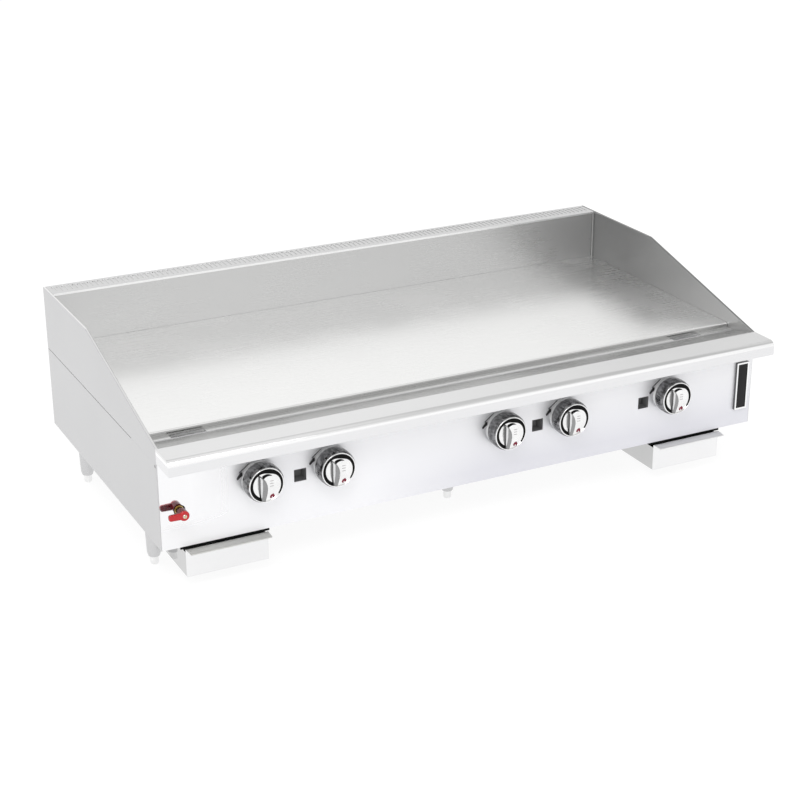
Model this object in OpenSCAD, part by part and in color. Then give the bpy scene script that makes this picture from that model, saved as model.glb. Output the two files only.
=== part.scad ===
// Countertop gas griddle: a wide cooking plate between folded splashes, with a gutter in front of it,
// five burners under it, a control panel with five knobs and a shut-off lever, and two grease drawers.
// Lengths are in millimetres and +Z is up. The origin is on the worktop, under the middle of the box.
// Shapes are drawn in the body's own place: y runs back from the control panel's face,
// and z runs up from the body's underside. in_body() carries them to the part's frame.

/* [Body] */
// Width over the side panels
body_w = 1524; // [1500:2:1600]
// Depth from the control panel's face to the back
body_d = 778; // [760:2:820]
// Height of the splash and flue above the body's underside
splash_h = 353.5; // [340:0.5:380]
// Height of the body's underside above the worktop
leg_h = 102; // [98:1:120]
// Thickness of the folded sheet
sheet = 1.5; // [1.2:0.1:1.6]

/* [Splash and flue] */
// Distance from the panel to the knee where the side splash starts to slope down
knee_y = 446; // [400:1:500]
// Height of the seam between the side panel and the splash
seam_z = 199.5; // [192:0.5:202]
// Distance from the panel to the front end of the open seam
seam_y = 159; // [140:1:180]
// Width of the open seam
seam_gap = 1.4; // [1:0.1:2]
// Depth of the flue at the back
flue_d = 63.5; // [55:0.5:70]
// Spacing of the slots in the flue top
slot_pitch = 12.7; // [12:0.1:15]
// Width of one flue slot
slot_w = 6.4; // [5:0.1:7]
// Distance from an end of the flue top to the middle of the nearest slot
slot_margin = 9; // [8:0.5:20]
// Thickness of the folded double wall of a side splash
splash_t = 6; // [5:0.5:8]

/* [Cooking plate] */
// Thickness of the plate
plate_t = 19; // [12:1:25]
// Height of the cooking surface above the body's underside
plate_top = 227.8; // [226:0.1:229]
// Distance from the panel to the plate's front edge
plate_front = 99.5; // [98:0.5:104]
// Radius of the plate's front edge
plate_edge_r = 6; // [4:0.5:8]

/* [Ledge and gutter] */
// Reach of the front ledge in front of the panel
ledge_reach = 76.5; // [70:0.5:85]
// Height of the ledge's top above the body's underside
ledge_top = 235.4; // [234:0.1:237]
// Height of the ledge's front
ledge_drop = 33.7; // [30:0.1:36]
// Radius of the ledge's nose
nose_r = 15; // [10:1:16]
// Width of the flat gutter in front of the plate
gutter_w = 25; // [25:0.5:28]
// Depth of the gutter below the cooking surface
gutter_depth = 9.8; // [9:0.1:10.5]
// Width of one drain hole
drain_w = 80; // [70:1:80]
// Middle of the left drain hole
left_drain_x = -660; // [-665:1:-655]
// Middle of the right drain hole
right_drain_x = 622; // [616:1:628]

/* [Controls] */
// Middle of the left pair of knobs
pair_1_x = -452.5; // [-456:0.5:-448]
// Middle of the second pair of knobs
pair_2_x = 143; // [138:0.5:148]
// Distance between the two knobs of a pair
knob_pitch = 168; // [165:1:176]
// Place of the single knob on the right
single_x = 513; // [508:1:520]
// Height of the knob axes above the body's underside
knob_z = 123.5; // [122:0.5:127]
// Radius of a knob's front rim
knob_r = 39.5; // [38:0.5:41]
// Largest radius of a knob's skirt
skirt_r = 43.5; // [42.5:0.5:45]
// How far a knob stands out of the panel
knob_reach = 44.5; // [42:0.5:46]
// Radius of the bezel behind a knob
bezel_r = 41; // [39:0.5:42]
// How far a pilot window sits to the right of its pair's middle
pilot_shift = 12; // [8:1:16]
// How far the last pilot window sits to the left of the single knob
pilot_gap = 66.5; // [64:0.5:72]
// Height of the pilot windows' middle
pilot_z = 109.5; // [106:0.5:112]
// Side of a square pilot window
pilot_w = 29; // [26:1:32]
// Place of the shut-off valve's axis
shutoff_x = -717; // [-718:1:-714]
// Height of the shut-off valve's axis and of the gas manifold
shutoff_z = 86; // [84:1:87]

/* [Grease drawers] */
// Width of one drawer
drawer_w = 189; // [186:1:192]
// Height of a drawer's front
drawer_h = 64; // [58:1:66]
// Length of a drawer, front to back
drawer_l = 500; // [480:5:540]
// Middle of the left drawer
left_drawer_x = -615.5; // [-616:0.5:-612]
// Middle of the right drawer
right_drawer_x = 575.5; // [570:0.5:580]
// Gap between the body's underside and a drawer's top edge
drawer_gap = 8; // [8:0.5:10]
// Rise of a drawer's front above its sides
front_rise = 3; // [0:0.5:4]
// Reach of the pull lip in front of a drawer
lip_reach = 23; // [20:1:28]

/* [Legs] */
// Distance of the outer legs from the middle
leg_x = 731; // [731:1:734]
// Distance from the panel to the front legs
front_leg_y = 147; // [140:1:155]
// Distance from the panel to the rear legs
rear_leg_y = 626; // [610:1:640]
// Radius of a leg at its top
leg_r = 18.5; // [16:0.5:18.5]
// Height of an adjustable foot below its leg
foot_h = 20; // [18:1:24]
// Radius of an adjustable foot
foot_r = 9.5; // [9:0.5:11]

/* [Hidden] */
$fn = 64;

// Colours as the photograph shows them
steel = "#dcdddf";
bright_steel = "#ececee";
plate_steel = "#c9cac7";
dark_steel = "#7b7d80";
chrome = "#b9bcc0";
knob_face = "#d4d5d7";
brass = "#b39a5a";
lever_red = "#c8202a";
badge_black = "#151515";

half_w = body_w / 2;
inner_w = half_w - sheet;
cook_w = half_w - splash_t;
join = 0.5;
inlet_stub = 30;
total_d = ledge_reach + body_d + inlet_stub;
panel_y = ledge_reach - total_d / 2;

flue_y = body_d - flue_d;
plate_bottom = plate_top - plate_t;
plate_back = flue_y - join;
ledge_bottom = ledge_top - ledge_drop;
gutter_z = plate_top - gutter_depth;
gutter_front = plate_front - gutter_w;
gutter_t = 2;
panel_top = ledge_top - 5;
panel_return = 16;

drain_d = 20;
drain_y = plate_front - 2.5 - drain_d / 2;
chute_t = 1.5;
chute_end = -4;

knob_x = [pair_1_x - knob_pitch / 2, pair_1_x + knob_pitch / 2,
          pair_2_x - knob_pitch / 2, pair_2_x + knob_pitch / 2, single_x];
pilot_x = [pair_1_x + pilot_shift, pair_2_x + pilot_shift, single_x - pilot_gap];
stem_r = 4;
stem_slack = 0.05;
stem_end = 49;
stem_grip = 0.01;
bezel_h = 10;
bezel_floor = 3;
grip_w = 20;
grip_end_w = 12;
grip_h = 8;
stem_hole_r = 9;
shutoff_hole_r = 13;
lever_y = -25;
lever_l = 34;

manifold_y = 50;
manifold_r = 16.7;
manifold_bore = 13.3;
inlet_r = 13.35;
pipe_r = 12.75;
pipe_hole_r = 15.35;
pipe_collar_r = 18.35;
inlet_bore = 10.5;
inlet_start = 80;
shutoff_end = 35;
shutoff_l = 27;
boss_top = 106;
burner_r = 16;
burner_bore = 14;
burner_front = 92;
burner_bend_y = 560;
second_leg_y = 150;
zone_w = body_w / 5;
shield_y = 103;
rail_ys = [185, 540];

drawer_front = -4;
drawer_top = -drawer_gap;
drawer_floor = drawer_top - drawer_h;
drawer_back_gap = 7;
drawer_t = 1.5;
drawer_flange = 12;
rail_start = 112;
rail_gap = 0.3;
lip_fall = 3;
lip_hem = 2.5;
shoulder_l = 30;
shoulder_drop = 5;

leg_places = [[-leg_x, front_leg_y], [0, front_leg_y], [leg_x, front_leg_y],
              [-leg_x, rear_leg_y], [0, rear_leg_y], [leg_x, rear_leg_y]];
leg_foot_r = 15;
foot_stud_r = 6;
foot_stud_l = 46;
leg_stud_r = 5;
screw_r = 3.5;
shank_r = 1.9;
side_screw = [8.5, 193];

module in_body() {
    translate([0, panel_y, leg_h]) children();
}

// A profile drawn in (y, z), carried across the body and centred on it
module across(length) {
    rotate([90, 0, 90]) translate([0, 0, -length / 2]) linear_extrude(length) children();
}

// A sheet drawn in (y, z), with its lower face at x
module side_sheet(x, thickness) {
    translate([x, 0, 0]) rotate([90, 0, 90]) linear_extrude(thickness) children();
}

// A round bar along y from y0 to y1
module bar_y(x, z, y0, y1, r) {
    translate([x, y1, z]) rotate([90, 0, 0]) cylinder(h = y1 - y0, r = r);
}

// A shape drawn on the panel's face, in (x, z), reaching from height h0 to h1 in front of it
module on_panel(x, z, h0, h1) {
    translate([x, -h0, z]) rotate([90, 0, 0]) linear_extrude(h1 - h0) children();
}

// A block between two opposite corners
module block(low, high) {
    translate(low) cube(high - low);
}

module side_panel(side) {
    x = side < 0 ? -half_w : half_w - sheet;
    color(steel) in_body() difference() {
        side_sheet(x, sheet) polygon([
            [0, 0], [body_d, 0], [body_d, seam_z - seam_gap], [seam_y, seam_z - seam_gap],
            [seam_y, seam_z], [0, seam_z]
        ]);
        translate([x - 1, side_screw.x, side_screw.y]) rotate([0, 90, 0])
            cylinder(h = sheet + 2, r = screw_r + 0.1);
    }
}

// The splash's outline. inset gives the hollow between its two skins, which is open below.
module splash_outline(inset) {
    polygon([
        [inset, seam_z - inset], [body_d - inset, seam_z - inset], [body_d - inset, splash_h - inset],
        [knee_y, splash_h - inset], [inset, ledge_top - inset]
    ]);
}

// A folded double wall that stands on the side panel
module splash(side) {
    x = side < 0 ? -half_w : half_w - splash_t;
    color(steel) in_body() difference() {
        side_sheet(x, splash_t) splash_outline(0);
        side_sheet(x + sheet, splash_t - 2 * sheet) splash_outline(sheet);
    }
}

module back_splash() {
    color(steel) in_body()
        block([-cook_w + join, flue_y, plate_bottom], [cook_w - join, flue_y + sheet, splash_h - sheet]);
}

// The slotted flue top, with a baffle under its rear half that turns the hot gas forward
module flue_grille() {
    span = 2 * (cook_w - join);
    count = floor((span - 2 * slot_margin) / slot_pitch) + 1;
    first = -(count - 1) * slot_pitch / 2;
    slot_front = flue_y + 16;
    slot_back = body_d - 9;
    fold = 4.5;
    baffle_z = splash_h - 15;
    color(bright_steel) in_body() {
        difference() {
            union() {
                block([-span / 2, flue_y - sheet, splash_h - sheet], [span / 2, body_d - sheet, splash_h]);
                block([-span / 2, flue_y - sheet, splash_h - fold], [span / 2, flue_y, splash_h]);
            }
            for (i = [0 : count - 1])
                block([first + i * slot_pitch - slot_w / 2, slot_front, splash_h - 2 * sheet],
                      [first + i * slot_pitch + slot_w / 2, slot_back, splash_h + sheet]);
        }
        block([-span / 2, flue_y + flue_d / 2, baffle_z - sheet], [span / 2, body_d - sheet, baffle_z]);
    }
}

module rear_panel() {
    vent_w = 60;
    vent_h = 6;
    vent_step = 2.6 * vent_w;
    vent_z = 60;
    color(steel) in_body() difference() {
        union() {
            block([-inner_w, body_d - sheet, 0], [inner_w, body_d, seam_z - seam_gap]);
            block([-cook_w + join, body_d - sheet, 0], [cook_w - join, body_d, splash_h]);
        }
        bar_y(shutoff_x, shutoff_z, body_d - 5, body_d + 5, pipe_hole_r);
        for (i = [-3 : 3], row = [0 : 2])
            translate([i * vent_step - vent_w / 2, body_d - 5, vent_z + row * 16])
                cube([vent_w, 10, vent_h]);
    }
}

module base_pan() {
    air_w = 120;
    air_d = 22;
    flange_h = 20;
    air_rows = [520, 562, 680];
    color(steel) in_body() difference() {
        union() {
            block([-inner_w, panel_return + 1, 0], [inner_w, body_d - sheet, sheet]);
            for (s = [-1, 1])
                block([s < 0 ? -inner_w : inner_w - sheet, panel_return + 3, 0],
                      [s < 0 ? -inner_w + sheet : inner_w, body_d - sheet, flange_h]);
        }
        for (x = [left_drain_x, right_drain_x])
            block([x - drain_w / 2 - 2, drain_y - drain_d / 2 - 2, -5],
                  [x + drain_w / 2 + 2, drain_y + drain_d / 2 + 2, 5]);
        for (i = [-2 : 2], y = air_rows)
            block([i * zone_w - air_w / 2, y, -5], [i * zone_w + air_w / 2, y + air_d, 5]);
        for (p = leg_places)
            translate([p.x, p.y, -5]) cylinder(h = 10, r = leg_stud_r + 0.3);
    }
}

module control_panel() {
    color(bright_steel) in_body() difference() {
        union() {
            block([-inner_w, 0, 0], [inner_w, sheet, seam_z - join]);
            block([-cook_w + join, 0, 0], [cook_w - join, sheet, panel_top]);
            block([-inner_w, 0, 0], [inner_w, panel_return, sheet]);
            for (s = [-1, 1])
                block([s < 0 ? -inner_w : inner_w - sheet, 0, 0],
                      [s < 0 ? -inner_w + sheet : inner_w, panel_return, seam_z - join]);
        }
        for (x = knob_x)
            bar_y(x, knob_z, -5, 5, stem_hole_r);
        for (x = pilot_x)
            translate([x, 0, pilot_z]) cube([pilot_w, 10, pilot_w], center = true);
        bar_y(shutoff_x, shutoff_z, -5, 5, shutoff_hole_r);
        translate([-half_w, side_screw.x, side_screw.y]) rotate([0, 90, 0])
            cylinder(h = body_w, r = shank_r + 0.1);
    }
}

// The ledge's outline: flat top, round nose, straight front. inset gives the sheet's inner face.
module ledge_outline(inset) {
    front = -ledge_reach + inset;
    top = ledge_top - inset;
    difference() {
        translate([front, ledge_bottom - inset]) square([-inset - front, top - ledge_bottom + inset]);
        difference() {
            translate([front - 1, ledge_top - nose_r]) square([nose_r - inset + 1, nose_r + 1]);
            translate([-ledge_reach + nose_r, ledge_top - nose_r]) circle(nose_r - inset);
        }
    }
}

module front_ledge() {
    hem = 14;
    color(bright_steel) in_body() union() {
        across(body_w) difference() {
            ledge_outline(0);
            ledge_outline(sheet);
        }
        for (s = [-1, 1])
            side_sheet(s < 0 ? -half_w : half_w - sheet, sheet) ledge_outline(0);
        block([-half_w, -ledge_reach, ledge_bottom], [half_w, -ledge_reach + hem, ledge_bottom + sheet]);
    }
}

module griddle_plate() {
    color(plate_steel) in_body() across(2 * (cook_w - join)) difference() {
        translate([plate_front, plate_bottom]) square([plate_back - plate_front, plate_t]);
        difference() {
            translate([plate_front - 1, plate_top - plate_edge_r])
                square([plate_edge_r + 1, plate_edge_r + 1]);
            translate([plate_front + plate_edge_r, plate_top - plate_edge_r]) circle(plate_edge_r);
        }
    }
}

module grease_trough() {
    back = plate_front - 0.2;
    color(steel) in_body() difference() {
        across(2 * (cook_w - join)) polygon([
            [0.2, ledge_top], [gutter_front, gutter_z], [back, gutter_z],
            [back, gutter_z - gutter_t], [gutter_front, gutter_z - gutter_t], [0.2, ledge_top - gutter_t]
        ]);
        for (x = [left_drain_x, right_drain_x])
            block([x - drain_w / 2, drain_y - drain_d / 2, gutter_z - 9],
                  [x + drain_w / 2, drain_y + drain_d / 2, gutter_z + 9]);
    }
}

module drain_chute(x) {
    top = gutter_z - gutter_t;
    color(steel) in_body() difference() {
        block([x - drain_w / 2 - chute_t, drain_y - drain_d / 2 - chute_t, chute_end],
              [x + drain_w / 2 + chute_t, drain_y + drain_d / 2 + chute_t, top]);
        block([x - drain_w / 2, drain_y - drain_d / 2, chute_end - 1],
              [x + drain_w / 2, drain_y + drain_d / 2, top + 1]);
    }
}

// One hanging rail: top flange on the base pan, web, and a foot under the drawer's turned-in edge
module drawer_rail(x, side) {
    foot_top = drawer_top - drawer_t - rail_gap;
    web = drawer_w / 2 - drawer_t - drawer_flange - 3;
    translate([x, 0, 0]) mirror([side < 0 ? 1 : 0, 0, 0]) {
        block([web - 15, rail_start, -drawer_t], [web, drawer_l, 0]);
        block([web - drawer_t, rail_start, foot_top - drawer_t], [web, drawer_l, 0]);
        block([web - drawer_t, rail_start, foot_top - drawer_t], [web + 12, drawer_l, foot_top]);
    }
}

module drawer_rails() {
    color(dark_steel) in_body()
        for (x = [left_drawer_x, right_drawer_x], side = [-1, 1])
            drawer_rail(x, side);
}

module grease_drawer(x) {
    back = drawer_front + drawer_l;
    w = drawer_w / 2;
    inner = drawer_front + drawer_t;
    lip_y = drawer_front - lip_reach;
    front_top = drawer_top + front_rise;
    lip_z = front_top - lip_fall;
    lip_root = front_top - drawer_t - 0.5;
    shoulder = drawer_front + shoulder_l;
    color(bright_steel) in_body() translate([x, 0, 0]) union() {
        block([-w, drawer_front, drawer_floor], [w, back, drawer_floor + drawer_t]);
        block([-w, drawer_front, drawer_floor], [w, drawer_front + drawer_t, front_top]);
        block([-w, back - drawer_t, drawer_floor], [w, back, drawer_top - drawer_back_gap]);
        for (s = [-1, 1]) mirror([s < 0 ? 1 : 0, 0, 0]) {
            block([w - drawer_t, drawer_front, drawer_floor], [w, shoulder, drawer_top - shoulder_drop]);
            block([w - drawer_t, shoulder, drawer_floor], [w, back, drawer_top]);
            block([w - drawer_flange, shoulder + 4, drawer_top - drawer_t], [w, back - 4, drawer_top]);
        }
        across(drawer_w) polygon([
            [inner, front_top], [drawer_front, front_top], [lip_y, lip_z], [lip_y, lip_z - lip_hem],
            [lip_y + drawer_t, lip_z - lip_hem], [lip_y + drawer_t, lip_z - drawer_t],
            [drawer_front, lip_root], [inner, lip_root]
        ]);
    }
}

// A U burner: a venturi behind the valve, two straight legs and a round bend at the back
module burner(k) {
    middle = (k - 2) * zone_w;
    inlet_x = knob_x[k];
    bend_r = abs(inlet_x - middle);
    far_x = 2 * middle - inlet_x;
    bell_l = 24;
    color(dark_steel) in_body() difference() {
        union() {
            bar_y(inlet_x, knob_z, burner_front, burner_bend_y, burner_r);
            translate([inlet_x, burner_front + bell_l, knob_z]) rotate([90, 0, 0])
                cylinder(h = bell_l, r1 = burner_r, r2 = burner_r + 5);
            bar_y(far_x, knob_z, second_leg_y, burner_bend_y, burner_r);
            translate([middle, burner_bend_y, knob_z]) rotate_extrude(angle = 180)
                translate([bend_r, 0]) circle(burner_r);
        }
        bar_y(inlet_x, knob_z, burner_front - 1, burner_bend_y, burner_bore);
        bar_y(far_x, knob_z, second_leg_y + 2, burner_bend_y, burner_bore);
        translate([middle, burner_bend_y, knob_z]) rotate_extrude(angle = 180)
            translate([bend_r, 0]) circle(burner_bore);
    }
}

// Two cross plates that carry the burners
module burner_rails() {
    rail_t = 2;
    color(dark_steel) in_body() difference() {
        for (y = rail_ys)
            block([-inner_w + 2, y, sheet + 0.2], [inner_w - 2, y + rail_t, knob_z - burner_r - 0.3]);
        bar_y(shutoff_x, shutoff_z, shield_y, body_d - flue_d, pipe_hole_r);
    }
}

// A sheet behind the controls, with a hole for each venturi and a window for each pilot
module heat_shield() {
    window = 18;
    color(dark_steel) in_body() difference() {
        block([-cook_w + join, shield_y, sheet + 0.2], [cook_w - join, shield_y + 1, plate_bottom - 1]);
        for (x = knob_x)
            bar_y(x, knob_z, shield_y - 5, shield_y + 5, burner_r + 6);
        for (x = pilot_x)
            block([x - window, shield_y - 5, shutoff_z - 2], [x + window, shield_y + 5, pilot_z + window]);
        bar_y(shutoff_x, shutoff_z, shield_y - 5, shield_y + 5, pipe_hole_r);
    }
}

module gas_manifold() {
    left = shutoff_x + shutoff_l;
    right = 700;
    end_cap = 4;
    boss_r = 10;
    color(dark_steel) in_body() difference() {
        union() {
            translate([left, manifold_y, shutoff_z]) rotate([0, 90, 0])
                cylinder(h = right - left, r = manifold_r);
            for (x = knob_x)
                translate([x, manifold_y, shutoff_z]) cylinder(h = boss_top - shutoff_z, r = boss_r);
        }
        translate([left - 1, manifold_y, shutoff_z]) rotate([0, 90, 0])
            cylinder(h = right - left + 1 - end_cap, r = manifold_bore);
        for (x = knob_x)
            translate([x, manifold_y, shutoff_z]) cylinder(h = boss_top - shutoff_z + 1, r = 5);
    }
}

// A valve on the manifold: a nose round the stem, a body, and a gas jet that faces the burner
module gas_valve(k) {
    x = knob_x[k];
    nose_y = 20;
    body_front = 34;
    body_back = 68;
    jet_end = burner_front - 4;
    color(brass) in_body() difference() {
        union() {
            bar_y(x, knob_z, nose_y, body_front, 9);
            bar_y(x, knob_z, body_front, body_back, 13);
            bar_y(x, knob_z, body_back, jet_end, 6.5);
            translate([x, manifold_y, boss_top]) cylinder(h = knob_z - boss_top, r = 8);
        }
        bar_y(x, knob_z, nose_y - 1, stem_end + 1, stem_r + stem_slack);
        bar_y(x, knob_z, stem_end + 5, jet_end + 1, 1.5);
        translate([x, manifold_y, boss_top - 1]) cylinder(h = knob_z - boss_top - 4, r = 4);
    }
}

// Small pilot burners with their feed tubes, one behind each window
module pilot_burners() {
    tube_r = 3;
    tube_z = shutoff_z + 4;
    head_y = 132;
    head_h = 30;
    color(brass) in_body() for (x = pilot_x) {
        bar_y(x, tube_z, manifold_y + manifold_r, head_y, tube_r);
        translate([x, head_y, tube_z - tube_r - 2]) {
            cylinder(h = head_h, r = 5);
            translate([0, 0, head_h]) cylinder(h = 6, r1 = 8, r2 = 6);
        }
    }
}

module shutoff_valve() {
    body_r = 20;
    body_l = 38;
    collar_front = -12;
    collar_back = 4;
    color(brass) in_body() difference() {
        union() {
            bar_y(shutoff_x, shutoff_z, manifold_y - body_l / 2, manifold_y + body_l / 2, body_r);
            translate([shutoff_x, manifold_y, shutoff_z]) rotate([0, 90, 0])
                cylinder(h = shutoff_l, r = manifold_r);
            bar_y(shutoff_x, shutoff_z, manifold_y, inlet_start, inlet_r);
            bar_y(shutoff_x, shutoff_z, collar_back, manifold_y, 10);
            bar_y(shutoff_x, shutoff_z, collar_front, collar_back, 8.5);
        }
        bar_y(shutoff_x, shutoff_z, collar_front - 1, shutoff_end + 1, stem_r + stem_slack);
    }
}

// The pipe from the shut-off valve to the back, a collar against the rear panel, and the connection's end
module gas_inlet_pipe() {
    collar = 6;
    color(dark_steel) in_body() difference() {
        union() {
            bar_y(shutoff_x, shutoff_z, inlet_start, body_d + 1, pipe_r);
            bar_y(shutoff_x, shutoff_z, body_d, body_d + collar, pipe_collar_r);
            bar_y(shutoff_x, shutoff_z, body_d + collar - 1, body_d + inlet_stub, inlet_r);
        }
        bar_y(shutoff_x, shutoff_z, inlet_start - 1, body_d + inlet_stub + 1, inlet_bore);
    }
}

// Round collars on the panel behind the knobs, each with a pointed index tab at its left
module knob_bezels() {
    tab_turn = 167;
    tab_l = 10;
    tab_w = 14;
    color(chrome) in_body() for (x = knob_x) {
        translate([x, 0, knob_z]) rotate([90, 0, 0]) rotate_extrude() polygon([
            [stem_hole_r + 1, 0], [bezel_r, 0], [bezel_r, 2], [bezel_r - 1.5, bezel_h - 1],
            [bezel_r - 2.5, bezel_h], [bezel_r - 5, bezel_h], [bezel_r - 6.5, bezel_floor],
            [stem_hole_r + 1, bezel_floor]
        ]);
        on_panel(x, knob_z, 0, 2.5) rotate(tab_turn) polygon([
            [bezel_r - 2, -tab_w / 2], [bezel_r + tab_l, 0], [bezel_r - 2, tab_w / 2]
        ]);
    }
}

// A stout skirt, a dished face inside a round rim, and an upright grip that crosses the rim at the bottom
module knob(k) {
    rim = knob_reach;
    dish = rim - 4;
    back = bezel_h + 2;
    hollow = rim - 14;
    grip_l = knob_r - 2;
    grip_arc = (pow(grip_l, 2) + pow((grip_w - grip_end_w) / 2, 2)) / (grip_w - grip_end_w);
    color(knob_face) in_body() difference() {
        union() {
            translate([knob_x[k], 0, knob_z]) rotate([90, 0, 0]) rotate_extrude() polygon([
                [0, back], [9, back], [9, hollow], [knob_r - 5, hollow], [skirt_r - 5, back],
                [skirt_r - 2, back], [skirt_r, back + 6], [skirt_r, rim - 19], [knob_r + 4, rim - 8],
                [knob_r + 0.8, rim - 1.5], [knob_r, rim], [knob_r - 2, rim], [knob_r - 4, dish], [0, dish]
            ]);
            on_panel(knob_x[k], knob_z, dish - 1, dish + grip_h) intersection() {
                translate([grip_arc - grip_w / 2, 0]) circle(grip_arc);
                translate([grip_w / 2 - grip_arc, 0]) circle(grip_arc);
                translate([-grip_w, -knob_r]) square([2 * grip_w, 2 * knob_r - 9]);
            }
        }
        bar_y(knob_x[k], knob_z, -rim + 8, 0, stem_r + stem_grip);
    }
}

module valve_stem(k) {
    color(dark_steel) in_body() bar_y(knob_x[k], knob_z, -knob_reach + 8.5, stem_end, stem_r);
}

module shutoff_stem() {
    color(brass) in_body() bar_y(shutoff_x, shutoff_z, lever_y - 9, shutoff_end, stem_r);
}

// A flat lever with a round boss on the stem
module shutoff_lever() {
    boss_r = 11;
    lever_w = 13;
    color(lever_red) in_body() difference() {
        union() {
            bar_y(shutoff_x, shutoff_z, lever_y - 7, lever_y + 8, boss_r);
            block([shutoff_x - lever_l + lever_w / 2, lever_y - 6, shutoff_z - lever_w / 2],
                  [shutoff_x, lever_y + 1, shutoff_z + lever_w / 2]);
            bar_y(shutoff_x - lever_l + lever_w / 2, shutoff_z, lever_y - 6, lever_y + 1, lever_w / 2);
        }
        bar_y(shutoff_x, shutoff_z, lever_y - 20, lever_y + 20, stem_r + stem_grip);
    }
}

// A bare plate with a raised edge
module badge_plate() {
    badge_x = half_w - 31.5;
    badge_z = 102.5;
    badge_w = 36;
    badge_h = 122;
    badge_t = 7;
    field = 1.5;
    edge = 4.8;
    color(badge_black) in_body() translate([badge_x, 0, badge_z]) difference() {
        block([-badge_w / 2, -badge_t, -badge_h / 2], [badge_w / 2, 0, badge_h / 2]);
        block([edge - badge_w / 2, -badge_t - 1, edge - badge_h / 2],
              [badge_w / 2 - edge, field - badge_t, badge_h / 2 - edge]);
    }
}

// Flush screws in the sides
module panel_screws() {
    color(dark_steel) in_body() for (side = [0, 1]) mirror([side, 0, 0])
        translate([-half_w, side_screw.x, side_screw.y]) rotate([0, 90, 0]) {
            cylinder(h = sheet, r = screw_r);
            cylinder(h = 8, r = shank_r);
        }
}

// A tapered leg with a stud through the base pan and a threaded hole for its foot
module leg(k) {
    color(steel) in_body() translate(leg_places[k]) difference() {
        union() {
            translate([0, 0, foot_h - leg_h]) cylinder(h = leg_h - foot_h, r1 = leg_foot_r, r2 = leg_r);
            cylinder(h = 12, r = leg_stud_r);
        }
        translate([0, 0, foot_h - leg_h - 1]) cylinder(h = foot_stud_l + 5, r = foot_stud_r + stem_slack);
    }
}

module foot(k) {
    color(steel) in_body() translate([leg_places[k].x, leg_places[k].y, -leg_h]) {
        cylinder(h = 3, r1 = foot_r - 1.5, r2 = foot_r);
        translate([0, 0, 3]) cylinder(h = foot_h - 3.2, r = foot_r);
        cylinder(h = foot_h + foot_stud_l, r = foot_stud_r);
    }
}

side_panel(-1);  // left_side_panel
side_panel(1);  // right_side_panel
splash(-1);  // left_splash
splash(1);  // right_splash
back_splash();
flue_grille();
rear_panel();
base_pan();
control_panel();
front_ledge();
griddle_plate();
grease_trough();
drain_chute(left_drain_x);  // left_drain_chute
drain_chute(right_drain_x);  // right_drain_chute
drawer_rails();
for (k = [0 : 4]) burner(k);
burner_rails();
heat_shield();
gas_manifold();
for (k = [0 : 4]) gas_valve(k);
pilot_burners();
shutoff_valve();
gas_inlet_pipe();
knob_bezels();
badge_plate();
panel_screws();
for (k = [0 : 5]) leg(k);
for (k = [0 : 4]) knob(k);
for (k = [0 : 4]) valve_stem(k);
shutoff_lever();
shutoff_stem();
grease_drawer(left_drawer_x);  // left_grease_drawer
grease_drawer(right_drawer_x);  // right_grease_drawer
for (k = [0 : 5]) foot(k);
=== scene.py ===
import math
import bmesh
import bpy
import numpy as np
from mathutils import Matrix, Vector


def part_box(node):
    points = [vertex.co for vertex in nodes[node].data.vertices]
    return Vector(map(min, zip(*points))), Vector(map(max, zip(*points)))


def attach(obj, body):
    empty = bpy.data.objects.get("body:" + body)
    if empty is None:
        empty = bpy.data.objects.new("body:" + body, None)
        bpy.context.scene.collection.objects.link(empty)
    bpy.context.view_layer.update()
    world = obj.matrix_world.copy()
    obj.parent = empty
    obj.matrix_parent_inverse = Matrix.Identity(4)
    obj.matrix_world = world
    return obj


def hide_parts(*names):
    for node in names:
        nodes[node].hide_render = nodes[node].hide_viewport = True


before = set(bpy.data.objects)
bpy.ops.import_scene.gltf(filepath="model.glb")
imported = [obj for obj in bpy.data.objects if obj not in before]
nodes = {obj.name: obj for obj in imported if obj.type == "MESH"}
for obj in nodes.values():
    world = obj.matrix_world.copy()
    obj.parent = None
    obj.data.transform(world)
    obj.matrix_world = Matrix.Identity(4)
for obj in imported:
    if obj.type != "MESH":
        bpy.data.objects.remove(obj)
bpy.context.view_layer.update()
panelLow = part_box("control_panel")[0]
panelY, underZ = panelLow.y, panelLow.z  # the panel's face and the body's underside
print("frame loaded:", len(nodes), "nodes")


# shapes are drawn in millimetres: y back from the panel's face, z up from the body's underside
def toFrame(points):
    return np.asarray(points, float) * 0.001 + np.array([0, panelY, underZ])


def middleOf(name):
    # the middle of a node's box, in the same millimetres
    low, high = (np.array(corner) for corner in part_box(name))
    return (low + high) * 500 - np.array([0, panelY, underZ]) * 1000


def rounded(corners, radius, steps=5, closed=False):
    # every corner of an outline becomes an arc that touches both of its sides
    pts = np.asarray(corners, float)
    radii = np.broadcast_to(np.asarray(radius, float), len(pts))
    out = []
    for i, (corner, r) in enumerate(zip(pts, radii)):
        if r <= 0 or (not closed and i in (0, len(pts) - 1)):
            out.append(corner[None])
            continue
        before, after = pts[i - 1] - corner, pts[(i + 1) % len(pts)] - corner
        longest = 0.49 * min(np.linalg.norm(before), np.linalg.norm(after))  # two arcs never meet on one side
        before, after = before / np.linalg.norm(before), after / np.linalg.norm(after)
        half = math.acos(np.clip(before @ after, -1, 1)) / 2
        reach = min(r / math.tan(half), longest)
        arcR = reach * math.tan(half)
        middle = corner + (before + after) / np.linalg.norm(before + after) * arcR / math.sin(half)
        first, last = corner + before * reach - middle, corner + after * reach - middle
        turn = math.pi - 2 * half
        t = np.linspace(0, 1, steps + 1)[:, None]
        out.append((np.sin((1 - t) * turn) * first + np.sin(t * turn) * last) / math.sin(turn) + middle)
    return np.concatenate(out)


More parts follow.
